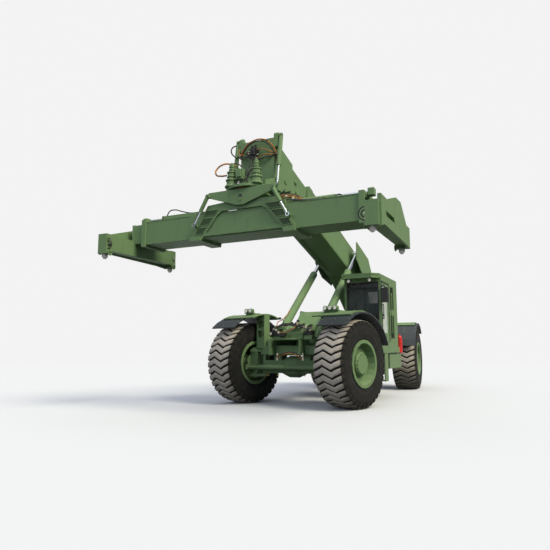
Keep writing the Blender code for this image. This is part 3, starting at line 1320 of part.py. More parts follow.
def mirror():
    """Door mirror on an arm from the cab's front corner."""
    x = CAB_X1 + SEAT_GAP
    y = CAB_Y0 + 0.03
    arm = tube([(x + 0.016, y, 2.94), (x + 0.10, y - 0.06, 2.98), (x + 0.12, y - 0.08, 2.86)], 0.014)
    glass = block(x + 0.02, x + 0.20, y - 0.13, y - 0.05, 2.52, 2.90)
    foot = block(x, x + 0.02, y - 0.02, y + 0.02, 2.90, 2.98)
    return union(glass, arm, foot)


def side_mirrored(shape, side):
    """The shape as built for the left, or its copy for the right."""
    if side > 0:
        return shape
    copy = mirrored(shape)
    bpy.data.objects.remove(shape)
    return copy


# Corner table: name, side of the machine, place along it, rest steering angle, lamps, front.
CORNERS = (
    ("front_left", 1, 0.0, STEER_LEFT_FRONT, 3, True),
    ("front_right", -1, 0.0, STEER_RIGHT_FRONT, 2, True),
    ("rear_left", 1, WHEELBASE, STEER_LEFT_REAR, 0, False),
    ("rear_right", -1, WHEELBASE, STEER_RIGHT_REAR, 0, False),
)


def place_corners(machine):
    """Knuckle, fender and wheel at each corner, each on its own pivot."""
    for name, side, y, steer, lamps, front in CORNERS:
        steering = pivot(f"steer_{name}", (side * KINGPIN_X, y, AXLE_HEIGHT), (0, 0, steer),
                         machine)
        for shape, node, finish_name in (
                (knuckle(lamps), f"knuckle_{name}", "green_paint"),
                (fender(), f"fender_{name}", "slate_plastic")):
            shape = side_mirrored(shape, side)
            if not front:
                turned_back = mirrored(shape, "Y")
                bpy.data.objects.remove(shape)
                shape = turned_back
            finish(shape, node, finish_name, steering)
        spin = pivot(f"spin_{name}", (side * KINGPIN_INSET, 0, 0), (0, 0, 0), steering)
        finish(side_mirrored(tyre(), side), f"tyre_{name}", "tyre_rubber", spin)
        finish(side_mirrored(rim(), side), f"rim_{name}", "green_paint", spin)


def place_axles(machine):
    for name, y, left, right, front in (
            ("front", 0.0, STEER_LEFT_FRONT, STEER_RIGHT_FRONT, True),
            ("rear", WHEELBASE, STEER_LEFT_REAR, STEER_RIGHT_REAR, False)):
        forward = 1 if front else -1
        middle = pivot(f"axle_{name}", (0, y, AXLE_HEIGHT), (0, 0, 0), machine)
        beam = axle_beam()
        if not front:
            back = mirrored(beam, "Y")
            bpy.data.objects.remove(beam)
            beam = back
        finish(beam, f"axle_beam_{name}", "green_paint", middle)
        cylinder = pivot(f"steer_slide_{name}", (0, forward * STEER_CYL_Y, -STEER_CYL_DROP),
                         (0, 0, 0), middle)
        reach = forward * STEER_ARM_REACH
        rod_shape = steer_rod(KINGPIN_X + reach * math.sin(left),
                              -KINGPIN_X + reach * math.sin(right))
        finish(rod_shape, f"steer_rod_{name}", "chrome_rod", cylinder)


def place_chassis(machine):
    for shape, name, finish_name in (
            (main_frame(), "main_frame", "green_paint"),
            (valve_tower(), "valve_tower", "green_paint"),
            (platform(), "cab_platform", "green_paint"),
            (hood(), "engine_hood", "green_paint"),
            (engine(), "engine_block", "dark_green"),
            (radiator(), "radiator_housing", "green_paint"),
            (counterweight(), "counterweight", "green_paint"),
            (handrails(), "handrails", "green_paint"),
            (cab_shell(), "cab_shell", "green_paint"),
            (glazing(), "cab_glazing", "clear_glass"),
            (visor(), "roof_guard", "green_paint"),
            (seat(), "operator_seat", "black_trim"),
            (dash(), "dash_and_wheel", "black_trim"),
            (extinguisher(), "extinguisher", "red_paint"),
            (mirror(), "cab_mirror", "black_trim")):
        finish(shape, name, finish_name, machine)
    hinge = pivot("door_hinge", (CAB_X1, DOOR_REAR, 0), (0, 0, 0), machine)
    at = (CAB_X1, DOOR_REAR, 0)
    finish(door_frame(), "cab_door", "green_paint", hinge, at)
    rail = 0.07
    door_glass = block(CAB_X1 - CAB_WALL / 2, CAB_X1 - CAB_WALL / 2 + GLASS,
                       DOOR_FRONT + rail + SEAT_GAP, DOOR_REAR - rail - SEAT_GAP,
                       DOOR_SILL + SEAT_GAP, DOOR_HIGH - rail - SEAT_GAP)
    finish(door_glass, "door_glass", "clear_glass", hinge, at)


def place_boom(machine):
    """Boom, its telescope, the head and the lift and tilt cylinders."""
    lift = pivot("boom_lift", (0, BOOM_PIVOT_Y, BOOM_PIVOT_Z), (-BOOM_SLOPE, 0, 0), machine)
    finish(outer_boom(), "boom_outer", "green_paint", lift)
    slide = pivot("boom_extend", (0, 0, 0), (0, 0, 0), lift)
    finish(inner_boom(), "boom_inner", "green_paint", slide)

    pin_y, pin_z = boom_to_machine(LIFT_PIN_S, LIFT_PIN_T)
    rise = math.atan2(pin_z - LIFT_BASE_Z, pin_y - LIFT_BASE_Y)
    length = math.hypot(pin_z - LIFT_BASE_Z, pin_y - LIFT_BASE_Y)
    sizes = (LIFT_EYE_RADIUS, LIFT_EYE_HALF, FOOT_PIN_RADIUS + PIN_PLAY, (1, 0, 0))
    for name, side in (("left", 1), ("right", -1)):
        base = pivot(f"lift_base_{name}", (side * LIFT_X, LIFT_BASE_Y, LIFT_BASE_Z),
                     (rise - math.pi / 2, 0, 0), machine)
        finish(barrel(LIFT_BARREL_RADIUS, LIFT_BARREL_LENGTH, LIFT_ROD_RADIUS, *sizes),
               f"lift_barrel_{name}", "green_paint", base)
        finish(rod(LIFT_ROD_RADIUS, LIFT_ROD_START, length, *sizes),
               f"lift_rod_{name}", "chrome_rod", base)

    fall = math.atan2(TILT_EYE_Y - TILT_TOP_Y, TILT_TOP_Z - TILT_EYE_Z)
    length = math.hypot(TILT_EYE_Y - TILT_TOP_Y, TILT_TOP_Z - TILT_EYE_Z)
    sizes = (TILT_EYE_RADIUS, TILT_EYE_HALF, TILT_PIN_RADIUS + PIN_PLAY, (1, 0, 0))
    for name, side in (("left", 1), ("right", -1)):
        top = pivot(f"tilt_top_{name}", (side * TILT_X, TILT_TOP_Y, TILT_TOP_Z),
                    (fall + math.pi, 0, 0), machine)
        finish(barrel(TILT_BARREL_RADIUS, TILT_BARREL_LENGTH, TILT_ROD_RADIUS, *sizes),
               f"tilt_barrel_{name}", "green_paint", top)
        finish(rod(TILT_ROD_RADIUS, TILT_ROD_START, length, *sizes),
               f"tilt_rod_{name}", "chrome_rod", top)

    tilt = pivot("head_tilt", (0, HEAD_PIN_Y, HEAD_PIN_Z), (0, 0, 0), machine)
    finish(head(), "head_frame", "green_paint", tilt)


def place_spreader(machine):
    """Rotator, slope cylinders, main beam and the sliding beams with their end beams."""
    slew = pivot("slew", (0, SLEW_Y, 0), (0, 0, 0), machine)
    finish(slew_gear(), "slew_gear", "copper_gear", slew)
    finish(rotator(), "rotator_yoke", "green_paint", slew)
    fan = math.atan2(SLOPE_EYE_X - SLOPE_TOP_X, SLOPE_TOP_Z - SLOPE_EYE_Z)
    length = math.hypot(SLOPE_EYE_X - SLOPE_TOP_X, SLOPE_TOP_Z - SLOPE_EYE_Z)
    sizes = (SLOPE_EYE_RADIUS, SLOPE_EYE_HALF, SLOPE_BORE, (0, 1, 0))
    for name, side in (("left", 1), ("right", -1)):
        top = pivot(f"slope_top_{name}", (side * SLOPE_TOP_X, SLOPE_CYL_Y, SLOPE_TOP_Z),
                    (0, math.pi - side * fan, 0), machine)
        finish(barrel(SLOPE_BARREL_RADIUS, SLOPE_BARREL_LENGTH, SLOPE_ROD_RADIUS, *sizes),
               f"slope_barrel_{name}", "green_paint", top)
        finish(rod(SLOPE_ROD_RADIUS, SLOPE_ROD_START, length, *sizes),
               f"slope_rod_{name}", "chrome_rod", top)
    slope = pivot("pile_slope", (0, SPREADER_Y, SLOPE_PIN_Z), (0, 0, 0), machine)
    at = (0, 0, SLOPE_PIN_Z)
    finish(spreader_frame(), "spreader_frame", "green_paint", slope, at)
    for name, side in (("left", 1), ("right", -1)):
        slide = pivot(f"spreader_slide_{name}", (0, 0, 0), (0, 0, 0), slope)
        finish(union(slide_beam(side), end_beam(side)), f"slide_beam_{name}", "green_paint",
               slide, at)


def build():
    clear_scene()
    for name in (PARTS, CUTTERS):
        group = bpy.data.collections.new(name)
        bpy.context.scene.collection.children.link(group)
    machine = pivot("machine", (0, MIDDLE_Y, 0))
    place_chassis(machine)
    place_axles(machine)
    place_corners(machine)
    place_boom(machine)
    place_spreader(machine)


build()
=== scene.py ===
"""Dresses the packed reach stacker: paint, tyres, hoses, fittings, floor, light and camera."""

import json
import math

import bmesh
import bpy
from bpy.props import FloatProperty, FloatVectorProperty, IntProperty, PointerProperty
from mathutils import Matrix, Vector


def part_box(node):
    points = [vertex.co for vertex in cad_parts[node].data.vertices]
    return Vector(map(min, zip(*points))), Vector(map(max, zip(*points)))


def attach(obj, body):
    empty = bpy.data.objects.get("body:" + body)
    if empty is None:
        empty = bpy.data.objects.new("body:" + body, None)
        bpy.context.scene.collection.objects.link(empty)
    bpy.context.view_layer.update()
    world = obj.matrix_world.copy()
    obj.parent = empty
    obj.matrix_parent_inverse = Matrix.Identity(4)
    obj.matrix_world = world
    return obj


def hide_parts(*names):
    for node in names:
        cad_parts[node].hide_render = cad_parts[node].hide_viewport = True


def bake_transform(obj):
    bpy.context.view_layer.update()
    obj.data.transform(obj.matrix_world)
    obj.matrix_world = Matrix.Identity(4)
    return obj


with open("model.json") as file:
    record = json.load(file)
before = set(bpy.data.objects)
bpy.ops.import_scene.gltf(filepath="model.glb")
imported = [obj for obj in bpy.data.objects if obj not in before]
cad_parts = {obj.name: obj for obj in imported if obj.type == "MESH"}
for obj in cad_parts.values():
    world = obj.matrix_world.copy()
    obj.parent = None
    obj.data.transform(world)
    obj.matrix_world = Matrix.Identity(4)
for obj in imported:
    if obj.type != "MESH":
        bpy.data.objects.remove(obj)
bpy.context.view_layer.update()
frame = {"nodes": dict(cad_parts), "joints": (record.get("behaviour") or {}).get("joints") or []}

JOINTS = {joint["name"]: joint for joint in frame["joints"]}
# The machine's own frame runs back from the front axle, on the ground, as its drawings do.
AXLE_Y = JOINTS["steer_front_left"]["pos_m"][1]

bl_info = {
    "name": "Reach stacker dressing",
    "version": (1, 0, 0),
    "blender": (4, 5, 0),
    "location": "View3D > Sidebar > Reach stacker",
    "description": "Adds paint, tyres, hoses, fittings, floor, lights and a camera to the machine",
    "category": "Object",
}


def colour(name, about, value):
    """A colour setting."""
    return FloatVectorProperty(name=name, description=about, subtype="COLOR", size=3,
                               default=value)


def length(name, about, value):
    """A setting in metres."""
    return FloatProperty(name=name, description=about, unit="LENGTH", default=value)


class PaintSettings(bpy.types.PropertyGroup):
    """Colours and finish of the machine's surfaces."""
    paint: colour("Paint", "Colour of the painted steel", (0.140, 0.228, 0.118))
    # Painted shade: a darker green laid on recesses and louvre gaps, where shade falls.
    dark_paint: colour("Dark paint", "Colour of paint in recesses", (0.040, 0.070, 0.036))
    dust: colour("Dust", "Colour of the dust on upper faces", (0.30, 0.32, 0.21))
    rubber: colour("Rubber", "Colour of the tyre walls", (0.017, 0.017, 0.018))
    tread: colour("Tread", "Colour of the dusty tread blocks", (0.55, 0.50, 0.475))
    conduit: colour("Conduit", "Colour of the hoses' ochre sleeves", (0.42, 0.17, 0.03))
    roughness: FloatProperty(name="Roughness", description="Roughness of the satin paint",
                             subtype="FACTOR", min=0, max=1, default=0.46)


class TyreSettings(bpy.types.PropertyGroup):
    """Sizes of the tyres' tread blocks."""
    lugs: IntProperty(name="Lugs", description="Tread blocks round a tyre", default=36)
    swing: FloatProperty(name="Swing", description="Zig-zag of a lug as a share of its pitch",
                         subtype="FACTOR", default=0.62)
    edge: length("Lug edge", "Rounding of a lug's edges", 0.007)


class FittingSettings(bpy.types.PropertyGroup):
    """Teeth of the slew ring."""
    teeth: IntProperty(name="Teeth", description="Teeth round the slew ring", default=64)
    tooth: length("Tooth", "Radius of a tooth of the slew ring", 0.0125)


class StageSettings(bpy.types.PropertyGroup):
    """The photograph's view and light."""
    lens: FloatProperty(name="Lens", description="Focal length of the camera in millimetres",
                        default=33.736)
    ground: colour("Background", "Colour of floor and background", (0.896, 0.896, 0.896))
    sky: FloatProperty(name="Sky light", description="Strength of the soft light all round",
                       default=0.36)
    key: FloatProperty(name="Key light", description="Strength of the warm light from the left",
                       default=3.4)


def paint_values():
    return bpy.context.scene.stacker_paint


# Shader maths

class Signal:
    """A shader socket that can be used in plain arithmetic."""

    def __init__(self, tree, socket):
        self.tree, self.socket = tree, socket

    def maths(self, operation, *others):
        return self.tree.node("ShaderNodeMath", {"operation": operation}, *others)

    def __add__(self, other):
        return self.maths("ADD", self, other)

    def __sub__(self, other):
        return self.maths("SUBTRACT", self, other)

    def __rsub__(self, other):
        return self.maths("SUBTRACT", other, self)

    def __mul__(self, other):
        return self.maths("MULTIPLY", self, other)

    def __pow__(self, other):
        return self.maths("POWER", self, other)

    __radd__ = __add__

    def step(self, low, high):
        """0 below low, 1 above high and smooth between them; high may be the lower of the two."""
        return self.tree.node("ShaderNodeMapRange", {"interpolation_type": "SMOOTHSTEP"},
                              self, low, high, 0, 1)


class Surface:
    """The node tree of a material or of the sky, with one method that makes any node."""

    def __init__(self, name, home="materials", output="ShaderNodeOutputMaterial"):
        self.owner = getattr(bpy.data, home).new(name)
        self.owner.use_nodes = True
        self.nodes = self.owner.node_tree.nodes
        self.links = self.owner.node_tree.links
        self.nodes.clear()
        self.output = self.nodes.new(output)

    def node(self, kind, settings, *inputs, out=0, **named):
        made = self.nodes.new(kind)
        for key, value in settings.items():
            setattr(made, key, value)
        for key, value in list(enumerate(inputs)) + list(named.items()):
            self.feed(made.inputs[key.replace("_", " ") if isinstance(key, str) else key], value)
        return Signal(self, made.outputs[out])

    def feed(self, socket, value):
        if isinstance(value, Signal):
            self.links.new(value.socket, socket)
        elif value is not None:
            socket.default_value = (*value, 1) if socket.type == "RGBA" else value

    def place(self):
        return self.node("ShaderNodeTexCoord", {}, out=3)

    def rays(self, *kinds):
        """1 for rays of any of these kinds and 0 for the others."""
        path = self.nodes.new("ShaderNodeLightPath")
        seen, *rest = (Signal(self, path.outputs["Is " + kind + " Ray"]) for kind in kinds)
        for other in rest:
            seen = seen.maths("MAXIMUM", seen, other)
        return seen

    def noise(self, scale, detail=4, stretch=None):
        where = self.place()
        if stretch:
            where = self.node("ShaderNodeMapping", {}, where, Scale=stretch)
        return self.node("ShaderNodeTexNoise", {}, where, Scale=scale, Detail=detail)

    def part(self, vector, axis):
        return self.node("ShaderNodeSeparateXYZ", {}, vector, out=axis)

    def mix(self, share, low, high):
        made = self.nodes.new("ShaderNodeMix")
        made.data_type = "RGBA"
        for index, value in ((0, share), (6, low), (7, high)):
            self.feed(made.inputs[index], value)
        return Signal(self, made.outputs[2])

    def tint(self, share, colour, towards):
        """A colour's own shades: from darker to lighter as share goes from 0 to 1."""
        dark, light = ([min(1, c * k) for c in colour] for k in towards)
        return self.mix(share, dark, light)

    def bump(self, height, strength, distance):
        return self.node("ShaderNodeBump", {}, Height=height, Strength=strength, Distance=distance)

    def finish(self, colour, roughness, metallic=0, bump=None, **more):
        shader = self.node("ShaderNodeBsdfPrincipled", {}, Base_Color=colour, Roughness=roughness,
                           Metallic=metallic, Normal=bump, **more)
        self.links.new(shader.socket, self.output.inputs[0])
        return self.owner


def painted_steel(name, colour, dust_share=0.22):
    """Satin paint with uneven shade, dust on upper faces, grime low down and faint runs."""
    s, values = Surface(name), paint_values()
    base = s.tint(s.noise(0.9, 5), colour, (0.90, 1.10))
    fine = s.noise(16, 5)
    base = s.mix(fine.step(0.35, 0.75) * 0.22, base, [c * 1.35 for c in colour])
    runs = s.noise(5, 5, (1, 1, 0.12)).step(0.56, 0.70)
    base = s.mix(runs * 0.20, base, [c * 0.55 for c in colour])
    up = s.part(s.node("ShaderNodeNewGeometry", {}, out=1), 2).step(0.45, 0.95)
    dust = up * s.noise(3.5, 6).step(0.35, 0.72) * dust_share
    base = s.mix(dust, base, values.dust)
    low = s.part(s.place(), 2).step(1.5, 0.5) * s.noise(6, 6).step(0.40, 0.70)
    base = s.mix(low * 0.35, base, [c * 0.5 for c in values.dust])
    scuffs = s.noise(60, 3, (1, 1, 0.25)).step(0.70, 0.76)
    base = s.mix(scuffs * 0.16, base, [c * 1.8 for c in colour])
    rough = values.roughness + dust * 0.3 + fine * 0.16
    peel = s.noise(220, 2) * 0.4 + s.noise(9, 3) * 0.6
    return s.finish(base, rough, bump=s.bump(peel, 0.10, 0.004), Specular_IOR_Level=0.18)


# Fine rings of a tyre's wall, in radians for each metre of radius.
WALL_RINGS = 260


def tyre_rubber(name, hub, axis, radius, tread_start):
    """Black rubber whose worn lug tops carry pale dust, measured from the wheel's own axis."""
    s, values = Surface(name), paint_values()
    arm = s.node("ShaderNodeVectorMath", {"operation": "SUBTRACT"}, s.place(), hub)
    along = s.node("ShaderNodeVectorMath", {"operation": "DOT_PRODUCT"}, arm, axis, out=1)
    reach = s.node("ShaderNodeVectorMath", {"operation": "LENGTH"}, arm, out=1)
    out = (reach * reach - along * along) ** 0.5
    rings = s.node("ShaderNodeMath", {"operation": "SINE"}, out * WALL_RINGS)
    coarse, fine = s.noise(7, 5), s.noise(70, 4)
    wall = s.tint(coarse, values.rubber, (0.5, 1.1))
    dusty = (coarse * 0.5 + fine * 0.5).step(0.52, 0.68) * 0.10
    wall = s.mix(dusty, wall, [c * 0.35 for c in values.tread])
    top = out.step(tread_start - 0.004, radius - 0.012)
    worn = s.tint(coarse * 0.6 + fine * 0.4, values.tread, (0.55, 1.35))
    streak = s.noise(22, 5).step(0.56, 0.72) * 0.4
    worn = s.mix(streak, worn, [c * 0.45 for c in values.tread])
    colour = s.mix(top, wall, worn)
    height = rings * (1 - top) * 0.25 + fine * 0.75
    return s.finish(colour, 0.62 + fine * 0.3, bump=s.bump(height, 0.35, 0.006),
                    Specular_IOR_Level=0.2)


def plain_finish(name, colour, roughness, metallic=0, grain=60, spread=(0.75, 1.25), depth=0.15,
                 **more):
    """A surface with uneven shade and a fine grain, for plastic, rubber and bare metal."""
    s = Surface(name)
    patch, fine = s.noise(grain / 12, 5), s.noise(grain, 4)
    shade = s.tint(patch * 0.6 + fine * 0.4, colour, spread)
    return s.finish(shade, fine * 0.22 + (roughness - 0.11), metallic,
                    s.bump(fine, depth, 0.002), **more)


def ground_metal(name, colour, roughness):
    """Bright rods with fine turning marks and a little film of oil."""
    s = Surface(name)
    marks, film = s.noise(180, 3), s.noise(8, 4)
    shade = s.mix(film.step(0.45, 0.7) * 0.35, colour, [c * 0.55 for c in colour])
    return s.finish(shade, film * 0.12 + roughness, 1.0, s.bump(marks, 0.06, 0.001))


def window_glass(name, tint, cover):
    """Tinted glass with dust towards its edges: mostly clear, with a soft reflection."""
    s = Surface(name)
    dirt = s.noise(4, 5).step(0.45, 0.75)
    fine = s.noise(30, 4)
    # The colour laid over the glass at its cover is tint with painted shade on the cab glass, and a
    # painted reflection on the door glass.
    colour = s.mix(dirt * 0.4, tint, [c * 1.6 + 0.02 for c in tint])
    return s.finish(colour, fine * 0.05 + 0.03, bump=s.bump(fine, 0.02, 0.001),
                    Alpha=dirt * 0.10 + cover, Specular_IOR_Level=0.8)


def lamp_glass(name, colour, glow):
    """Fluted lens over a reflector, a little lit."""
    s = Surface(name)
    flutes = s.node("ShaderNodeTexWave", {}, s.place(), Scale=28)
    shade = s.mix(flutes, colour, [c * 0.6 for c in colour])
    return s.finish(shade, flutes * 0.1 + 0.12, 0.3, s.bump(flutes, 0.3, 0.004),
                    Emission_Color=shade, Emission_Strength=glow)


def ochre_sleeve(name):
    """Woven hose sleeve, ochre on one side and black where it is worn."""
    s, values = Surface(name), paint_values()
    weave = s.node("ShaderNodeTexWave", {"bands_direction": "DIAGONAL"}, s.place(), Scale=120)
    patch = s.noise(9, 4)
    shade = s.mix(weave * 0.5, values.conduit, [c * 0.45 for c in values.conduit])
    shade = s.mix(patch.step(0.55, 0.62), shade, values.rubber)
    return s.finish(shade, 0.55 + patch * 0.2, bump=s.bump(weave, 0.3, 0.002))


PAINTS = {}


def make_finishes():
    """Every finish that more than one piece takes, by its plain name."""
    v = paint_values()
    PAINTS.update({
        "paint": painted_steel("satin_green_paint", v.paint),
        # The recess finish is painted shade for recesses and louvre gaps.
        "recess": painted_steel("shaded_green_paint", v.dark_paint, 0.1),
        "rubber": plain_finish("hose_rubber", v.rubber, 0.55, grain=90),
        "slate": plain_finish("slate_fender_plastic", (0.030, 0.038, 0.048), 0.55, grain=45),
        "black": plain_finish("black_trim_plastic", (0.012, 0.012, 0.013), 0.5),
        "chrome": ground_metal("polished_rod", (0.52, 0.55, 0.60), 0.16),
        "steel": ground_metal("bare_steel", (0.26, 0.26, 0.25), 0.42),
        "zinc": plain_finish("zinc_fittings", (0.52, 0.50, 0.40), 0.35, 0.8),
        "copper": plain_finish("greased_teeth", (0.50, 0.24, 0.13), 0.38, 0.75, spread=(0.6, 1.3)),
        "red": plain_finish("red_bottle_paint", (0.62, 0.012, 0.010), 0.3, grain=20,
                            spread=(0.92, 1.08), Coat_Weight=0.4),
        # Cab glass: dark tint and painted shade of the cab's inside.
        "glass": window_glass("cab_glass", (0.03, 0.045, 0.05), 0.48),
        # Door glass: a pale painted reflection laid over the glass.
        "pale_glass": window_glass("door_glass_tint", (0.62, 0.70, 0.72), 0.80),
        "lamp": lamp_glass("lamp_lens", (0.85, 0.84, 0.80), 0.25),
        "amber": lamp_glass("amber_lens", (0.75, 0.25, 0.03), 0.15),
        "tail": lamp_glass("tail_lens", (0.45, 0.02, 0.02), 0.15),
        "sleeve": ochre_sleeve("ochre_hose_sleeve"),
        "seat": plain_finish("seat_cloth", (0.022, 0.023, 0.026), 0.85, grain=140, depth=0.4),
        "yellow": plain_finish("yellow_caps", (0.66, 0.46, 0.05), 0.4),
    })


# Shapes

def at(x, y, z):
    """A place in the machine's frame as a place in the row frame."""
    return Vector((x, y + AXLE_Y, z))


def own(place):
    """A place in the row frame as a place in the machine's frame."""
    return (place.x, place.y - AXLE_Y, place.z)


def round_places(count, radius):
    """The two coordinates of places spread evenly round a circle."""
    for i in range(count):
        angle = 2 * math.pi * i / count
        yield radius * math.cos(angle), radius * math.sin(angle)


class Form:
    """A mesh under construction, given in the machine's frame."""

    def __init__(self):
        self.mesh = bmesh.new()

    def block(self, low, high):
        made = bmesh.ops.create_cube(self.mesh, size=1)["verts"]
        middle = (at(*low) + at(*high)) / 2
        size = Vector(high) - Vector(low)
        for vert in made:
            vert.co = Vector(c * abs(s) for c, s in zip(vert.co, size)) + middle
        return self

    def rod(self, start, end, radius, sides=12, taper=None):
        a, b = at(*start), at(*end)
        turn = (b - a).to_track_quat("Z", "Y").to_matrix().to_4x4()
        bmesh.ops.create_cone(self.mesh, cap_ends=True, segments=sides, radius1=radius,
                              radius2=radius if taper is None else taper, depth=(b - a).length,
                              matrix=Matrix.Translation((a + b) / 2) @ turn)
        return self

    def pin(self, centre, axis, half, radius, sides=8):
        """A rod that reaches half its length to either side of its centre."""
        ends = [list(centre), list(centre)]
        for end, reach in zip(ends, (-half, half)):
            end["xyz".index(axis)] += reach
        return self.rod(*ends, radius, sides)

    def slab(self, corners, along, low, high):
        """A flat outline pushed from low to high along an axis; corners skip that axis."""
        rows = []
        for level in (low, high):
            row = []
            for corner in corners:
                place = list(corner)
                place.insert("xyz".index(along), level)
                row.append(self.mesh.verts.new(at(*place)))
            rows.append(row)
        self.mesh.faces.new(rows[0])
        self.mesh.faces.new(rows[1])
        for i in range(len(corners)):
            j = (i + 1) % len(corners)
            self.mesh.faces.new((rows[0][i], rows[0][j], rows[1][j], rows[1][i]))
        return self

    def object(self, name, bevel=0):
        bmesh.ops.recalc_face_normals(self.mesh, faces=self.mesh.faces)
        data = bpy.data.meshes.new(name)
        self.mesh.to_mesh(data)
        self.mesh.free()
        made = bpy.data.objects.new(name, data)
        bpy.context.scene.collection.objects.link(made)
        if bevel:
            soft = made.modifiers.new("soft_edges", "BEVEL")
            soft.width, soft.segments, soft.limit_method = bevel, 2, "ANGLE"
        return made

    def settle(self, name, finish, body, bevel=0, smooth=None):
        """Ends the form as one piece of a body."""
        return settle(self.object(name, bevel), finish, body, smooth=smooth)


# The record's material slots, by the finishes that match them.
SLOTS = {"paint": "green_paint", "recess": "dark_green", "slate": "slate_plastic",
         "black": "black_trim", "chrome": "chrome_rod", "copper": "copper_gear"}


def settle(made, finish, body, *replaced, smooth=None):
    """Gives a piece its finish and its body, or the joint it bends across, as a plain mesh."""
    if made.modifiers or made.type != "MESH":
        shape = bpy.context.evaluated_depsgraph_get()
        data = bpy.data.meshes.new_from_object(made.evaluated_get(shape))
        name = made.name
        bpy.data.objects.remove(made)
        made = bpy.data.objects.new(name, data)
        bpy.context.scene.collection.objects.link(made)
    made.data.materials.clear()
    made.data.materials.append(PAINTS[finish] if isinstance(finish, str) else finish)
    if smooth is not None:
        for face in made.data.polygons:
            face.use_smooth = True
        made.data.set_sharp_from_angle(angle=math.radians(smooth))
    if isinstance(body, str):
        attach(made, body)
    else:
        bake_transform(made)
    isinstance(finish, str) and finish in SLOTS
    if replaced:
        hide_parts(*replaced)
    return made


def hoses(name, finish, body, radius, routes):
    """Round hoses along smooth routes, as one piece."""
    curve = bpy.data.curves.new(name, "CURVE")
    curve.dimensions, curve.bevel_depth, curve.bevel_resolution = "3D", radius, 3
    curve.resolution_u, curve.use_fill_caps = 8, True
    for route in routes:
        line = curve.splines.new("BEZIER")
        line.bezier_points.add(len(route) - 1)
        for point, place in zip(line.bezier_points, route):
            point.co = at(*place)
            point.handle_left_type = point.handle_right_type = "AUTO"
    made = bpy.data.objects.new(name, curve)
    bpy.context.scene.collection.objects.link(made)
    return settle(made, finish, body, smooth=60)


class Group:
    """A Geometry Nodes tree under construction, with named inputs."""

    def __init__(self, name, inputs):
        self.tree = bpy.data.node_groups.new(name, "GeometryNodeTree")
        face = self.tree.interface
        face.new_socket("Geometry", in_out="INPUT", socket_type="NodeSocketGeometry")
        self.sockets = {label: face.new_socket(label, in_out="INPUT", socket_type=kind)
                        for label, kind in inputs.items()}
        face.new_socket("Geometry", in_out="OUTPUT", socket_type="NodeSocketGeometry")
        self.start = self.tree.nodes.new("NodeGroupInput")
        self.end = self.tree.nodes.new("NodeGroupOutput")

    def node(self, kind, settings, *inputs, **named):
        made = self.tree.nodes.new(kind)
        for key, value in settings.items():
            setattr(made, key, value)
        for key, value in [*enumerate(inputs), *named.items()]:
            socket = made.inputs[key]
            if isinstance(value, bpy.types.NodeSocket):
                self.tree.links.new(value, socket)
            else:
                socket.default_value = value
        return made

    def given(self, label):
        return self.start.outputs[label]

    def close(self, geometry):
        real = self.node("GeometryNodeRealizeInstances", {}, geometry)
        dyed = self.node("GeometryNodeSetMaterial", {}, real.outputs[0],
                         Material=self.given("Material"))
        self.tree.links.new(dyed.outputs[0], self.end.inputs[0])
        return self

    def apply(self, made, **values):
        modifier = made.modifiers.new(self.tree.name, "NODES")
        modifier.node_group = self.tree
        for label, value in values.items():
            modifier[self.sockets[label].identifier] = value
        return made


def stud_group():
    """One six-sided head on each point, turned to the point's facing."""
    g = Group("stud_heads", {"Radius": "NodeSocketFloat", "Height": "NodeSocketFloat",
                             "Sides": "NodeSocketInt", "Material": "NodeSocketMaterial"})
    head = g.node("GeometryNodeMeshCylinder", {}, Vertices=g.given("Sides"),
                  Radius=g.given("Radius"), Depth=g.given("Height"))
    facing = g.node("GeometryNodeInputNamedAttribute", {"data_type": "FLOAT_VECTOR"},
                    Name="facing")
    turn = g.node("FunctionNodeAlignRotationToVector", {"axis": "Z"}, Vector=facing.outputs[0])
    spread = g.node("GeometryNodeInstanceOnPoints", {}, g.given("Geometry"),
                    Instance=head.outputs[0], Rotation=turn.outputs[0])
    return g.close(spread.outputs[0])


def ring_group():
    """Turns copies of one shape round the X axis."""
    g = Group("round_copies", {"Count": "NodeSocketInt", "Material": "NodeSocketMaterial"})
    line = g.node("GeometryNodeMeshLine", {}, Count=g.given("Count"), Offset=(0, 0, 0))
    index = g.node("GeometryNodeInputIndex", {})
    share = g.node("ShaderNodeMath", {"operation": "DIVIDE"}, index.outputs[0], g.given("Count"))
    angle = g.node("ShaderNodeMath", {"operation": "MULTIPLY"}, share.outputs[0], 2 * math.pi)
    turn = g.node("ShaderNodeCombineXYZ", {}, angle.outputs[0])
    rotation = g.node("FunctionNodeEulerToRotation", {}, turn.outputs[0])
    spread = g.node("GeometryNodeInstanceOnPoints", {}, line.outputs[0],
                    Instance=g.given("Geometry"), Rotation=rotation.outputs[0])
    return g.close(spread.outputs[0])


def row_group():
    """Copies of one shape in a straight row."""
    g = Group("row_copies", {"Count": "NodeSocketInt", "Step": "NodeSocketVector",
                             "Material": "NodeSocketMaterial"})
    line = g.node("GeometryNodeMeshLine", {}, Count=g.given("Count"), Offset=g.given("Step"))
    spread = g.node("GeometryNodeInstanceOnPoints", {}, line.outputs[0],
                    Instance=g.given("Geometry"))
    return g.close(spread.outputs[0])


GROUPS = {}
BOLT_SIDES = 6


def studs(name, finish, body, places, radius, height):
    """Bolt heads at (place, facing) pairs, as one piece."""
    data = bpy.data.meshes.new(name)
    data.from_pydata([at(*place) for place, _ in places], [], [])
    facing = data.attributes.new("facing", "FLOAT_VECTOR", "POINT")
    for item, (_, way) in zip(facing.data, places):
        item.vector = way
    made = bpy.data.objects.new(name, data)
    bpy.context.scene.collection.objects.link(made)
    GROUPS["studs"].apply(made, Radius=radius, Height=height, Sides=BOLT_SIDES,
                          Material=PAINTS[finish])
    return settle(made, finish, body)


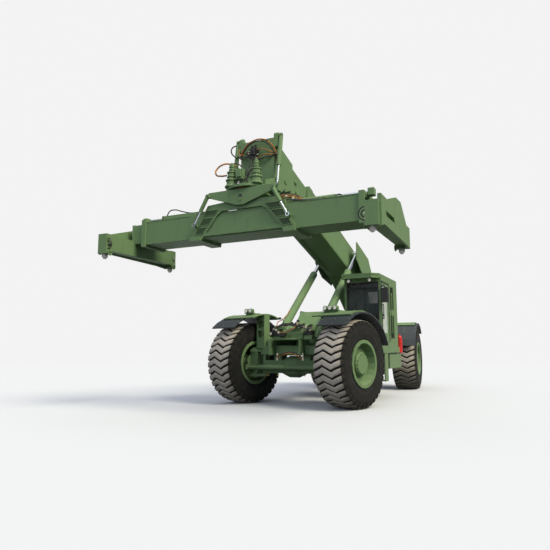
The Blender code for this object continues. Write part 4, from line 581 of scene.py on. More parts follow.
def slats(name, finish, outline, along, span, foot, count, rise):
    """Slats of one outline across a span, the lowest at foot and each next one a rise above."""
    slat = Form().slab(outline, along, *span)
    for vert in slat.mesh.verts:
        vert.co += Vector(foot)
    made = slat.object(name)
    GROUPS["row"].apply(made, Count=count, Step=(0, 0, rise), Material=PAINTS[finish])
    return settle(made, finish, "chassis", smooth=40)


def operator(label, idname, work):
    """An operator class whose execute does one group's work."""
    def execute(self, context):
        work()
        return {"FINISHED"}
    return type("STACKER_OT_" + idname, (bpy.types.Operator,), {
        "bl_idname": "stacker." + idname, "bl_label": label, "__doc__": work.__doc__,
        "bl_options": {"REGISTER", "UNDO"}, "execute": execute})


# Carried-over pieces

CAD_FINISHES = {
    "paint": ("main_frame", "valve_tower", "cab_platform", "cab_shell", "engine_hood", "cab_door",
              "radiator_housing", "counterweight", "axle_beam_*", "knuckle_*", "rim_*",
              "boom_outer", "boom_inner", "lift_barrel_*", "head_frame", "tilt_barrel_*",
              "rotator_yoke", "slope_barrel_*", "spreader_frame", "slide_beam_*", "steer_rod_*",
              "handrails", "roof_guard"),
    "chrome": ("lift_rod_*", "tilt_rod_*", "slope_rod_*"),
    "copper": ("slew_gear",),
    "slate": ("fender_*",),
    "glass": ("cab_glazing",),
    "pale_glass": ("door_glass",),
    "black": ("cab_mirror", "dash_and_wheel", "engine_block"),
    "seat": ("operator_seat",),
    "red": ("extinguisher",),
    "rubber": ("tyre_*",),
}


def matching(pattern):
    stem = pattern.rstrip("*")
    return [name for name in frame["nodes"]
            if name == pattern or (pattern.endswith("*") and name.startswith(stem))]


def dress_frame():
    """Gives every carried-over piece of the machine its finish."""
    make_finishes()
    GROUPS.update(studs=stud_group(), ring=ring_group(), row=row_group())
    for finish, patterns in CAD_FINISHES.items():
        for pattern in patterns:
            for name in matching(pattern):
                for slot in frame["nodes"][name].material_slots:
                    slot.material = PAINTS[finish]


# Tyres and wheels

CORNERS = ("front_left", "front_right", "rear_left", "rear_right")
TYRE_RADIUS = JOINTS["spin_front_left"]["pos_m"][2]
TYRE_STEPS = 96
TREAD_DEPTH = 0.045
# Half section of the carcass from the bead to the crown: radius, place from the middle.
CARCASS = ((0.505, 0.330), (0.535, 0.352), (0.575, 0.366), (0.590, 0.374), (0.605, 0.371),
           (0.66, 0.390), (0.675, 0.396), (0.690, 0.393), (0.76, 0.397), (0.82, 0.391),
           (0.835, 0.392), (0.85, 0.384), (0.90, 0.366), (0.945, 0.338), (0.957, 0.29),
           (0.957, 0.0))
# Stations across a lug: place from the middle, top radius, zig-zag side.
LUG_STATIONS = ((0.383, 0.895, -0.9), (0.352, 0.982, -1.0), (0.20, 1.001, 0.1),
                (0.115, 1.003, 1.0))
# Half widths of a lug as shares of its pitch, and how far its foot sinks into the carcass.
LUG_HALF_TOP = 0.31
LUG_HALF_FOOT = 0.42
LUG_ROOT = 0.006
# The hub bolts of a rim: number, radius of their ring and place along the wheel's axis.
HUB_BOLTS, HUB_RING, HUB_FACE = 16, 0.225, 0.331


def corner_frame(corner, joint):
    """A corner's joint, its wheel's outward axis and the frame there whose X follows it."""
    place = Vector(JOINTS[joint + corner]["pos_m"])
    axis = Vector(JOINTS["spin_" + corner]["axis"]) * (1 if corner.endswith("left") else -1)
    turn = Matrix.Rotation(math.atan2(axis.y, axis.x), 4, "Z")
    return place, axis, Matrix.Translation(place) @ turn


def lug_form(pitch, swing):
    """One zig-zag tread block round the +Y side of the wheel's X axis."""
    mesh = bmesh.new()
    stations = list(LUG_STATIONS)
    stations += [(-x, top, -turn) for x, top, turn in reversed(LUG_STATIONS)]
    rows = []
    for x, top, turn in stations:
        foot = min(top - TREAD_DEPTH * 0.6, TYRE_RADIUS - TREAD_DEPTH - LUG_ROOT)
        row = []
        for radius, share in ((foot, -LUG_HALF_FOOT), (top, -LUG_HALF_TOP), (top, LUG_HALF_TOP),
                              (foot, LUG_HALF_FOOT)):
            angle = pitch * (share + turn * swing / 2)
            row.append(mesh.verts.new((x, radius * math.cos(angle), radius * math.sin(angle))))
        rows.append(row)
    for a, b in zip(rows, rows[1:]):
        for i in range(4):
            j = (i + 1) % 4
            mesh.faces.new((a[i], a[j], b[j], b[i]))
    mesh.faces.new(rows[0])
    mesh.faces.new(rows[-1])
    bmesh.ops.recalc_face_normals(mesh, faces=mesh.faces)
    return mesh


def make_tyres():
    """Tyres with round, ringed walls and rows of zig-zag lugs."""
    values = bpy.context.scene.stacker_tyres
    section = list(CARCASS) + [(radius, -x) for radius, x in reversed(CARCASS[:-1])]
    for corner in CORNERS:
        hub, axis, where = corner_frame(corner, "spin_")
        lug = bpy.data.meshes.new("lug")
        mesh = lug_form(2 * math.pi / values.lugs, values.swing)
        mesh.to_mesh(lug)
        mesh.free()
        made = bpy.data.objects.new("tread_" + corner, lug)
        bpy.context.scene.collection.objects.link(made)
        soft = made.modifiers.new("lug_edges", "BEVEL")
        soft.width, soft.segments = values.edge, 1
        finish = tyre_rubber("tyre_rubber_" + corner, hub, axis, TYRE_RADIUS,
                             TYRE_RADIUS - TREAD_DEPTH + 0.012)
        GROUPS["ring"].apply(made, Count=values.lugs, Material=finish)
        tread = settle(made, finish, "wheel_" + corner)
        carcass = bmesh.new()
        rings = []
        for i in range(TYRE_STEPS):
            angle = 2 * math.pi * i / TYRE_STEPS
            rings.append([carcass.verts.new((x, r * math.cos(angle), r * math.sin(angle)))
                          for r, x in section])
        for a, b in zip(rings, rings[1:] + rings[:1]):
            for i in range(len(section)):
                j = (i + 1) % len(section)
                carcass.faces.new((a[i], a[j], b[j], b[i]))
        bmesh.ops.recalc_face_normals(carcass, faces=carcass.faces)
        carcass.from_mesh(tread.data)
        name = "road_tyre_" + corner
        data = bpy.data.meshes.new(name)
        carcass.to_mesh(data)
        carcass.free()
        bpy.data.objects.remove(tread)
        data.transform(where)
        made = bpy.data.objects.new(name, data)
        bpy.context.scene.collection.objects.link(made)
        settle(made, finish, "wheel_" + corner, "tyre_" + corner, smooth=35)


def make_wheel_fittings():
    """Hub bolts of the rims."""
    for corner in CORNERS:
        hub, axis, where = corner_frame(corner, "spin_")
        ring = [(own(where @ Vector((HUB_FACE, y, z))), axis)
                for y, z in round_places(HUB_BOLTS, HUB_RING)]
        studs("hub_bolts_" + corner, "paint", "wheel_" + corner, ring, 0.013, 0.016)


# Hoses and valves on the boom's nose and head

# Routes of the hoses and sleeves: places in the machine's frame, one row of them for each hose.
ARCH_ROUTES = (
    ((-0.43, -2.04, 5.57), (-0.27, -2.08, 5.77), (-0.09, -2.10, 5.88), (0.19, -2.10, 5.89),
     (0.37, -2.08, 5.77), (0.46, -2.00, 5.57), (0.44, -1.90, 5.37)),
)
LOOP_ROUTES = (
    ((-0.46, -2.12, 5.37), (-0.62, -2.35, 5.37), (-0.79, -2.42, 5.24), (-0.76, -2.48, 5.11),
     (-0.60, -2.55, 5.03), (-0.42, -2.60, 5.00)),
)
SLEEVE_ROUTES = (
    ((-0.42, -2.04, 5.79), (-0.42, -2.08, 5.67), (-0.35, -2.10, 5.61), (-0.24, -2.10, 5.63),
     (-0.13, -2.08, 5.67)),
    ((0.05, -2.10, 5.70), (0.19, -2.10, 5.67), (0.33, -2.08, 5.61), (0.45, -2.00, 5.57)),
    ((0.03, -2.10, 5.44), (0.11, -2.11, 5.51), (0.31, -2.08, 5.54), (0.44, -1.98, 5.53)),
)
NOSE_ROUTES = (
    ((-0.39, -2.06, 5.53), (-0.23, -2.11, 5.73), (-0.07, -2.13, 5.83), (0.18, -2.13, 5.84),
     (0.35, -2.10, 5.73), (0.43, -2.02, 5.57)),
    ((0.01, -2.10, 5.47), (0.15, -2.11, 5.45), (0.29, -2.08, 5.49), (0.41, -1.95, 5.51),
     (0.44, -1.85, 5.47)),
    ((-0.11, -2.10, 5.59), (-0.23, -2.12, 5.53), (-0.35, -2.10, 5.57), (-0.49, -2.00, 5.63),
     (-0.56, -1.92, 5.69)),
    ((-0.56, -1.94, 5.93), (-0.64, -2.00, 5.87), (-0.65, -2.02, 5.75), (-0.58, -1.98, 5.65),
     (-0.49, -2.04, 5.59)),
)
FEED_ROUTES = (
    ((-0.04, -2.10, 5.57), (-0.07, -2.16, 5.39), (-0.03, -2.42, 5.12), (-0.07, -2.44, 4.95),
     (-0.04, -2.46, 4.80)),
    ((0.01, -2.10, 5.55), (-0.01, -2.15, 5.37), (0.02, -2.40, 5.10), (-0.02, -2.44, 4.92),
     (0.04, -2.46, 4.78)),
)
HEAD_ROUTES = (
    ((-0.28, -2.60, 5.19), (-0.26, -2.52, 5.27), (-0.18, -2.44, 5.24), (-0.13, -2.44, 5.12),
     (-0.10, -2.46, 4.98)),
    ((0.28, -2.60, 5.19), (0.24, -2.50, 5.28), (0.14, -2.42, 5.22), (0.06, -2.42, 5.08),
     (0.02, -2.46, 4.94)),
    ((-0.20, -2.64, 4.84), (-0.10, -2.70, 4.78), (0.04, -2.70, 4.80), (0.14, -2.64, 4.88)),
    ((-0.16, -2.62, 4.78), (-0.04, -2.66, 4.70), (0.10, -2.66, 4.72), (0.20, -2.60, 4.80)),
)
# Axes of the two slew motors. A flange has a height, a radius and a thickness, and a ring of
# bolts has a height, a radius and a number.
MOTOR_X, MOTOR_Y = 0.29, -2.60
MOTOR_FLANGES = ((4.71, 0.148, 0.03), (4.74, 0.130, 0.02), (4.850, 0.128, 0.028),
                 (4.93, 0.103, 0.02), (5.025, 0.104, 0.024), (5.09, 0.066, 0.02),
                 (5.15, 0.062, 0.02))
MOTOR_BOLTS = ((4.882, 0.118, 12), (5.053, 0.088, 8), (4.744, 0.139, 12))
# The axis that the spreader slews about and the ring of its teeth.
SLEW_Y = -2.32
TOOTH_RING = 0.386


def make_head_hoses():
    """Hoses, sleeves, valves, motor flanges and slew teeth of the boom's nose and its head."""
    hoses("nose_arch_sleeve", "sleeve", "boom_inner", 0.016, ARCH_ROUTES)
    hoses("nose_sleeves", "sleeve", "boom_inner", 0.011, SLEEVE_ROUTES)
    hoses("nose_hoses", "rubber", "boom_inner", 0.015, NOSE_ROUTES)
    feed = ("boom_inner", "head", at(0, -2.10, 5.45), at(0, -2.42, 4.95))
    hoses("head_feed_hoses", "rubber", feed, 0.015, FEED_ROUTES)
    loop = ("boom_inner", "head", at(-0.5, -2.13, 5.36), at(-0.5, -2.55, 5.03))
    hoses("head_loop_sleeve", "sleeve", loop, 0.018, LOOP_ROUTES)
    hoses("head_hoses", "rubber", "head", 0.014, HEAD_ROUTES)
    block = Form().block((-0.14, -2.11, 5.51), (0.04, -2.00, 5.73))
    block.block((-0.12, -2.15, 5.57), (-0.06, -2.10, 5.67))
    block.block((-0.03, -2.16, 5.55), (0.02, -2.10, 5.71))
    block.block((-0.23, -2.05, 5.59), (-0.13, -2.00, 5.67))
    for x, top in ((-0.09, 5.79), (-0.01, 5.81)):
        block.rod((x, -2.07, 5.72), (x, -2.07, top), 0.025)
    block.settle("nose_valve_block", "black", "boom_inner", 0.004)
    ends = Form()
    for x, z in ((-0.15, 5.67), (-0.15, 5.62), (0.05, 5.69), (0.05, 5.57), (0.05, 5.48),
                 (-0.04, 5.50), (0.01, 5.50)):
        ends.pin((x, -2.09, z), "x", 0.03, 0.014)
    for place in ((0.44, -1.97, 5.57), (-0.55, -1.93, 5.45), (0.44, -1.90, 5.53)):
        ends.pin(place, "y", 0.03, 0.02)
    ends.settle("nose_hose_ends", "zinc", "boom_inner", 0.002, 40)
    valve = Form().block((-0.17, -2.66, 4.86), (0.0, -2.54, 5.08))
    valve.block((-0.14, -2.70, 4.90), (-0.03, -2.65, 5.02))
    for x, top, radius in ((-0.13, 5.13, 0.022), (-0.05, 5.12, 0.018)):
        valve.rod((x, -2.60, 5.07), (x, -2.60, top), radius)
    valve.block((-0.12, -2.58, 4.62), (-0.05, -2.54, 4.87))
    valve.settle("slew_valve", "paint", "head", 0.004)
    flanges, heads, pinions = Form(), [], Form()
    for side in (-1, 1):
        x = side * MOTOR_X
        for z, radius, thick in MOTOR_FLANGES:
            flanges.rod((x, MOTOR_Y, z), (x, MOTOR_Y, z + thick), radius, 20)
        flanges.rod((x, MOTOR_Y, 5.215), (x, MOTOR_Y, 5.250), 0.032, 12)
        for z, radius, count in MOTOR_BOLTS:
            heads += [((x + a, MOTOR_Y + b, z), (0, 0, 1)) for a, b in round_places(count, radius)]
        pinions.rod((side * 0.302, -2.612, 4.624), (side * 0.302, -2.612, 4.652), 0.038, 16)
    flanges.settle("slew_motor_flanges", "paint", "head", 0.003, 40)
    studs("slew_motor_bolts", "zinc", "head", heads, 0.009, 0.012)
    pinions.settle("slew_pinions", "copper", "head", 0.002, 30)
    # A thin black disc on the yoke: painted shade in its window.
    window = Form().rod((0, -2.7465, 4.46), (0, -2.744, 4.46), 0.045, 20)
    window.settle("yoke_window", "black", "rotator")
    teeth, values = Form(), bpy.context.scene.stacker_fittings
    for x, y in round_places(values.teeth, TOOTH_RING):
        teeth.rod((x, SLEW_Y + y, 4.593), (x, SLEW_Y + y, 4.648), values.tooth, 6)
    teeth.settle("slew_ring_teeth", "copper", "rotator")


# Front of the frame

FRAME_BUNDLES = (
    ((-0.36, -0.60, 1.70), (-0.20, -0.60, 1.84), (0.05, -0.58, 1.90), (0.26, -0.58, 1.88),
     (0.42, -0.58, 1.84), (0.62, -0.56, 1.78)),
    ((-0.34, -0.52, 1.74), (-0.16, -0.50, 1.90), (0.08, -0.48, 1.93), (0.30, -0.50, 1.90),
     (0.56, -0.52, 1.84)),
    ((-0.40, -0.46, 1.64), (-0.30, -0.56, 1.72), (-0.22, -0.50, 1.86), (-0.18, -0.30, 1.92),
     (-0.20, -0.05, 1.90)),
    ((0.20, -0.55, 1.88), (0.22, -0.40, 1.96), (0.20, -0.20, 1.94), (0.16, 0.00, 1.86)),
    ((0.42, -0.50, 1.84), (0.40, -0.36, 1.92), (0.30, -0.18, 1.92), (0.24, 0.02, 1.82)),
    ((0.44, -0.54, 1.66), (0.56, -0.60, 1.74), (0.64, -0.54, 1.84), (0.60, -0.40, 1.90),
     (0.46, -0.30, 1.86)),
)
FRAME_SLEEVES = (
    ((-0.14, -0.62, 1.73), (0.00, -0.64, 1.72), (0.14, -0.64, 1.77), (0.26, -0.60, 1.84),
     (0.30, -0.52, 1.92)),
    ((-0.24, -0.52, 1.86), (-0.30, -0.34, 1.98), (-0.28, -0.10, 2.06), (-0.24, 0.10, 2.20),
     (-0.24, 0.30, 2.32)),
)
AXLE_ARCH = ((-0.16, -0.685, 1.16), (-0.02, -0.70, 1.225), (0.14, -0.70, 1.265),
             (0.32, -0.70, 1.245), (0.49, -0.685, 1.14))
AXLE_SLEEVE = ((-0.14, -0.70, 1.135), (0.00, -0.715, 1.20), (0.14, -0.72, 1.24),
               (0.30, -0.715, 1.22), (0.47, -0.70, 1.115))


def make_frame_fittings():
    """Hoses, couplings, pressure stores, brackets, caps, mirror and bolts of the frame's front."""
    hoses("frame_hoses", "rubber", "chassis", 0.020, FRAME_BUNDLES)
    hoses("frame_sleeves", "sleeve", "chassis", 0.011, FRAME_SLEEVES)
    hoses("axle_hose_arch", "rubber", "chassis", 0.014, (AXLE_ARCH,))
    hoses("axle_sleeve_arch", "sleeve", "chassis", 0.010, (AXLE_SLEEVE,))
    pots = Form()
    for place in ((-0.27, -0.44, 1.68), (-0.10, -0.50, 1.68), (0.56, -0.50, 1.70),
                  (0.56, -0.34, 1.72)):
        pots.pin(place, "x", 0.075, 0.055, 20).pin(place, "x", 0.085, 0.035, 16)
    pots.settle("pressure_stores", "black", "chassis", 0.004, 40)
    hold = Form()
    for low, high in (((-0.36, -0.47, 1.558), (-0.02, -0.41, 1.66)),
                      ((0.46, -0.53, 1.558), (0.66, -0.31, 1.665)),
                      ((-0.30, -0.50, 1.80), (-0.06, -0.36, 1.86)),
                      ((-0.24, -0.44, 1.745), (-0.12, -0.40, 1.81)),
                      ((-0.02, -0.36, 1.92), (0.28, -0.06, 1.945)),
                      ((0.10, -0.24, 1.73), (0.16, -0.18, 1.93))):
        hold.block(low, high)
    hold.slab(((-0.58, 1.554), (0.20, 1.60), (0.20, 1.625), (-0.58, 1.58)), "x", -0.30, 0.30)
    hold.settle("front_valve_brackets", "paint", "chassis", 0.004)
    ends = Form()
    for place in ((-0.36, -0.60, 1.70), (-0.28, -0.58, 1.80), (-0.22, -0.60, 1.79),
                  (-0.14, -0.63, 1.73), (0.62, -0.56, 1.78), (0.54, -0.59, 1.84),
                  (0.30, -0.52, 1.93), (0.46, -0.56, 1.83)):
        ends.pin(place, "x", 0.03, 0.024, 6).pin(place, "z", 0.035, 0.017)
    for x in (-0.155, 0.49):
        ends.rod((x, -0.675, 1.075), (x, -0.675, 1.245), 0.017, 8)
        ends.rod((x, -0.675, 1.10), (x, -0.675, 1.15), 0.026, 6)
        ends.block((x - 0.012, -0.672, 1.19), (x + 0.012, -0.618, 1.225))
    ends.settle("frame_hose_ends", "zinc", "chassis", 0.002, 40)
    caps = Form().rod((0.26, -0.40, 1.945), (0.26, -0.40, 2.00), 0.012, 8)
    caps.rod((0.26, -0.43, 1.995), (0.26, -0.37, 1.995), 0.03, 16)
    caps.rod((0.02, -0.20, 1.945), (0.02, -0.20, 1.985), 0.03, 14)
    caps.settle("breather_caps", "black", "chassis", 0.003, 40)
    view = Form().rod((-0.12, -0.34, 1.86), (-0.16, -0.34, 2.05), 0.008, 8)
    view.rod((-0.16, -0.34, 2.05), (-0.22, -0.34, 2.07), 0.006, 8)
    view.block((-0.285, -0.35, 2.045), (-0.215, -0.325, 2.10))
    view.settle("boom_foot_mirror", "black", "chassis", 0.004)
    heads = [((x, -0.235, z), (0, -1, 0)) for x in (-0.63, -0.35, 0.35, 0.63)
             for z in (0.715, 0.905)]
    studs("axle_clamp_caps", "yellow", "chassis", heads, 0.016, 0.03)
    nuts = [((side * x, -0.305, z), (0, -1, 0)) for side in (-1, 1)
            for x in (0.48, 0.60, 0.72) for z in (1.245, 1.37)]
    nuts += [((side * 0.442, y, z), (side, 0, 0)) for side in (-1, 1)
             for y in (1.0, 2.2, 3.5, 4.8, 6.9) for z in (1.26, 1.49)]
    studs("frame_bolts", "paint", "chassis", nuts, 0.018, 0.016)


# Fenders and lamps

# Number of lamps in front of a knuckle, and their lenses' places in its own frame.
FENDER_LAMPS = {"front_right": 2, "front_left": 3}
LAMP_FIRST, LAMP_STEP, LAMP_FACE, LAMP_HEIGHT = -0.09, 0.14, 0.33, 1.285
# Bolts of the bracket plates and of the arches: angles from the top, places across, radius.
PLATE_BOLTS = ((-20, -8, 8, 20), (0.10, 0.62), 1.222)
ARCH_BOLTS = ((-40, -32, -24, 24, 30), (0.03, 0.40, 0.75), 1.183)


def make_fender_fittings():
    """Rims and lenses of the lamps, and the bolts along the fenders."""
    for corner in CORNERS:
        where, body = corner_frame(corner, "steer_")[2], "knuckle_" + corner
        forward = -1 if corner.endswith("left") else 1
        heads = []
        for (angles, across, radius), sense in ((PLATE_BOLTS, 1), (ARCH_BOLTS, -forward)):
            for a in (math.radians(angle * sense) for angle in angles):
                way = where.to_3x3() @ Vector((0, math.sin(a), math.cos(a)))
                for x in across:
                    place = where @ Vector((x, radius * math.sin(a), radius * math.cos(a)))
                    heads.append((own(place), way))
        studs("fender_bolts_" + corner, "zinc", body, heads, 0.011, 0.008)
        if corner not in FENDER_LAMPS:
            continue
        for name, finish, radius, reach in (("lamp_rims_", "black", 0.054, 0.006),
                                            ("lamp_lenses_", "lamp", 0.045, 0.010)):
            lenses = Form()
            for i in range(FENDER_LAMPS[corner]):
                ends = [where @ Vector((LAMP_FIRST + LAMP_STEP * i, forward * y, LAMP_HEIGHT))
                        for y in (LAMP_FACE - 0.004, LAMP_FACE + reach)]
                lenses.rod(*map(own, ends), radius, 20)
            lenses.settle(name + corner, finish, body, 0.002, 40)


# Cab

CAB_SLAT = ((0, 0), (0.05, -0.03), (0.05, -0.022), (0, 0.008))


def make_cab_fittings():
    """Seals, wipers, lamps, visor skirt, louvres, hinges, handle, rail and bolts of the cab."""
    x0, x1 = (corner.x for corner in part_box("cab_shell"))
    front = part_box("cab_shell")[0].y - AXLE_Y
    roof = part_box("cab_shell")[1].z
    seal = Form()
    for low, high in (((x0 + 0.06, 1.93), (x1 - 0.06, 1.965)),
                      ((x0 + 0.06, 3.045), (x1 - 0.06, 3.08)),
                      ((x0 + 0.055, 1.95), (x0 + 0.085, 3.06)),
                      ((x1 - 0.085, 1.95), (x1 - 0.055, 3.06)),
                      ((x0 + 0.08, 2.915), (x1 - 0.08, 2.945))):
        seal.block((low[0], front - 0.008, low[1]), (high[0], front + 0.012, high[1]))
    seal.settle("windscreen_seal", "black", "chassis", 0.006)
    arms = Form()
    for x, z, tip, top in ((1.35, 1.90, 1.05, 2.42), (1.12, 1.90, 1.30, 2.30)):
        arms.rod((x, front - 0.02, z), (x, front - 0.055, z), 0.018, 10)
        arms.rod((x, front - 0.045, z), (tip, front - 0.03, top), 0.007, 6)
        arms.rod((tip - 0.02, front - 0.022, top - 0.26), (tip + 0.02, front - 0.022, top + 0.22),
                 0.008, 6)
    arms.settle("wipers", "black", "chassis", 0.002)
    for name, finish, radius, y0, y1 in (("cab_lamp_bowls", "black", 0.052, -0.045, -0.012),
                                         ("cab_lamp_lenses", "lamp", 0.042, -0.052, -0.044)):
        lamps = Form()
        for x in (0.93, 1.50):
            lamps.rod((x, front + y0, 3.125), (x, front + y1, 3.125), radius, 20)
        lamps.settle(name, finish, "chassis", 0.004, 40)
    visor = Form()
    y0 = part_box("roof_guard")[0].y - AXLE_Y
    low, high = roof - 0.085, roof + 0.003
    visor.block((x0 + 0.02, y0 + 0.002, low), (x1 - 0.17, y0 + 0.022, high))
    visor.slab(((x1 - 0.172, y0 + 0.002), (x1 - 0.172, y0 + 0.024), (x1 - 0.022, y0 + 0.174),
                (x1 - 0.002, y0 + 0.166)), "z", low, high)
    visor.slab(((y0 + 0.17, low), (front + 0.01, roof - 0.02), (front + 0.01, roof),
                (y0 + 0.17, high)), "x", x1 - 0.02, x1 - 0.002)
    visor.block((x0 + 0.002, y0 + 0.03, low), (x0 + 0.022, front, high))
    visor.settle("visor_skirt", "paint", "chassis", 0.004)
    trim = Form()
    side = x1 + 0.001
    for y0, y1, low, high in ((1.55, 1.585, 1.52, 3.10), (2.335, 2.37, 1.52, 3.10),
                              (1.55, 2.37, 3.075, 3.105)):
        trim.block((side - 0.004, y0, low), (side + 0.012, y1, high))
    for low, high in ((1.60, 2.26), (2.40, 3.06)):
        for y in (2.54, 2.865):
            trim.block((side - 0.004, y, low), (side + 0.010, y + 0.015, high))
    trim.settle("cab_side_seals", "black", "chassis", 0.003)
    for name, low in (("cab_louvres_low", 1.645), ("cab_louvres_high", 2.445)):
        slats(name, "black", CAB_SLAT, "y", (2.555, 2.865), (x1 - 0.058, 0, low), 14, 0.042)
    hinges = Form()
    for z in (1.72, 2.30, 2.86):
        hinges.pin((x1 + 0.018, 2.345, z), "z", 0.05, 0.016, 10)
        hinges.block((x1 - 0.002, 2.345, z - 0.04), (x1 + 0.014, 2.42, z + 0.04))
    hinges.settle("door_hinges", "paint", "chassis", 0.003, 40)
    handle = Form().block((x1 + 0.004, 1.66, 2.18), (x1 + 0.03, 1.72, 2.24))
    handle.rod((x1 + 0.034, 1.64, 2.10), (x1 + 0.034, 1.64, 2.50), 0.012, 10)
    for z in (2.12, 2.48):
        handle.rod((x1, 1.64, z), (x1 + 0.034, 1.64, z), 0.010, 8)
    handle.settle("door_handle", "black", "door", 0.003, 40)
    rail = Form().rod((x1 + 0.045, 2.50, 1.75), (x1 + 0.045, 2.50, 2.85), 0.014, 10)
    for z in (1.77, 2.83):
        rail.rod((x1 - 0.004, 2.50, z), (x1 + 0.045, 2.50, z), 0.011, 8)
    rail.settle("cab_grab_rail", "paint", "chassis", 0.002, 40)
    bolts = [((x, y, roof + 0.041), (0, 0, 1)) for x in (x0 + 0.05, 1.28, x1 - 0.05)
             for y in (1.65, 2.2, 2.8)]
    bolts += [((x1 + 0.001, y, z), (1, 0, 0)) for y in (2.62, 3.08)
              for z in (1.50, 1.90, 2.30, 2.70)]
    studs("cab_bolts", "paint", "chassis", bolts, 0.012, 0.009)


# Spreader

# Ends of the hose tray, top of the beam under it, and the place across of the stretch cylinders.
TRAY_LEFT, TRAY_RIGHT, TRAY_FOOT = -2.10, -1.20, 4.199
RAIL_Y = -2.40
BEAM_ROUTES = (
    ((-2.03, -2.52, 4.30), (-1.95, -2.52, 4.42), (-1.80, -2.52, 4.435), (-1.62, -2.52, 4.38),
     (-1.40, -2.52, 4.32), (-1.10, -2.52, 4.30), (-0.70, -2.46, 4.26)),
    ((-2.00, -2.48, 4.28), (-1.86, -2.48, 4.30), (-1.50, -2.48, 4.27), (-1.0, -2.48, 4.25),
     (-0.60, -2.42, 4.24)),
    ((0.56, -2.56, 4.24), (0.80, -2.58, 4.30), (1.10, -2.58, 4.28), (1.60, -2.52, 4.24),
     (1.92, -2.48, 4.26), (2.03, -2.48, 4.295), (2.16, -2.48, 4.23), (2.50, -2.46, 4.22)),
    ((0.52, -2.60, 4.26), (0.72, -2.62, 4.34), (0.94, -2.60, 4.30), (1.20, -2.60, 4.25),
     (1.70, -2.54, 4.23)),
    ((0.50, -2.50, 4.26), (0.70, -2.46, 4.36), (0.90, -2.40, 4.40), (1.10, -2.30, 4.34),
     (1.24, -2.24, 4.26)),
    ((0.54, -2.54, 4.30), (0.80, -2.52, 4.42), (1.04, -2.42, 4.44), (1.22, -2.32, 4.36),
     (1.34, -2.26, 4.24)),
)
BEAM_SLEEVES = (
    ((0.58, -2.63, 4.32), (0.80, -2.64, 4.37), (1.02, -2.60, 4.38), (1.16, -2.50, 4.36),
     (1.30, -2.40, 4.30)),
    ((0.62, -2.60, 4.28), (0.86, -2.62, 4.32), (1.10, -2.60, 4.33), (1.28, -2.50, 4.28)),
)
# The truss's faces with the relief of its recesses, where thin dark panels of painted shade lie,
# and the heights of the recesses.
TRUSS_FACES = ((-2.70, -0.0015), (-1.94, 0.0015))
TRUSS_BAYS = ((3.76, 3.90), (3.945, 4.09), (4.135, 4.25))
# Front face of the beam, where its weld seams lie.
WELD_Y = -2.662


def leg_inner(z):
    """Inner edge of the truss's leg at a height."""
    return 0.86 - (z - 3.78) * 0.79


def leg_outer(z):
    """Outer edge of the truss's leg at a height."""
    return 1.25 - (z - 3.66) * 0.614


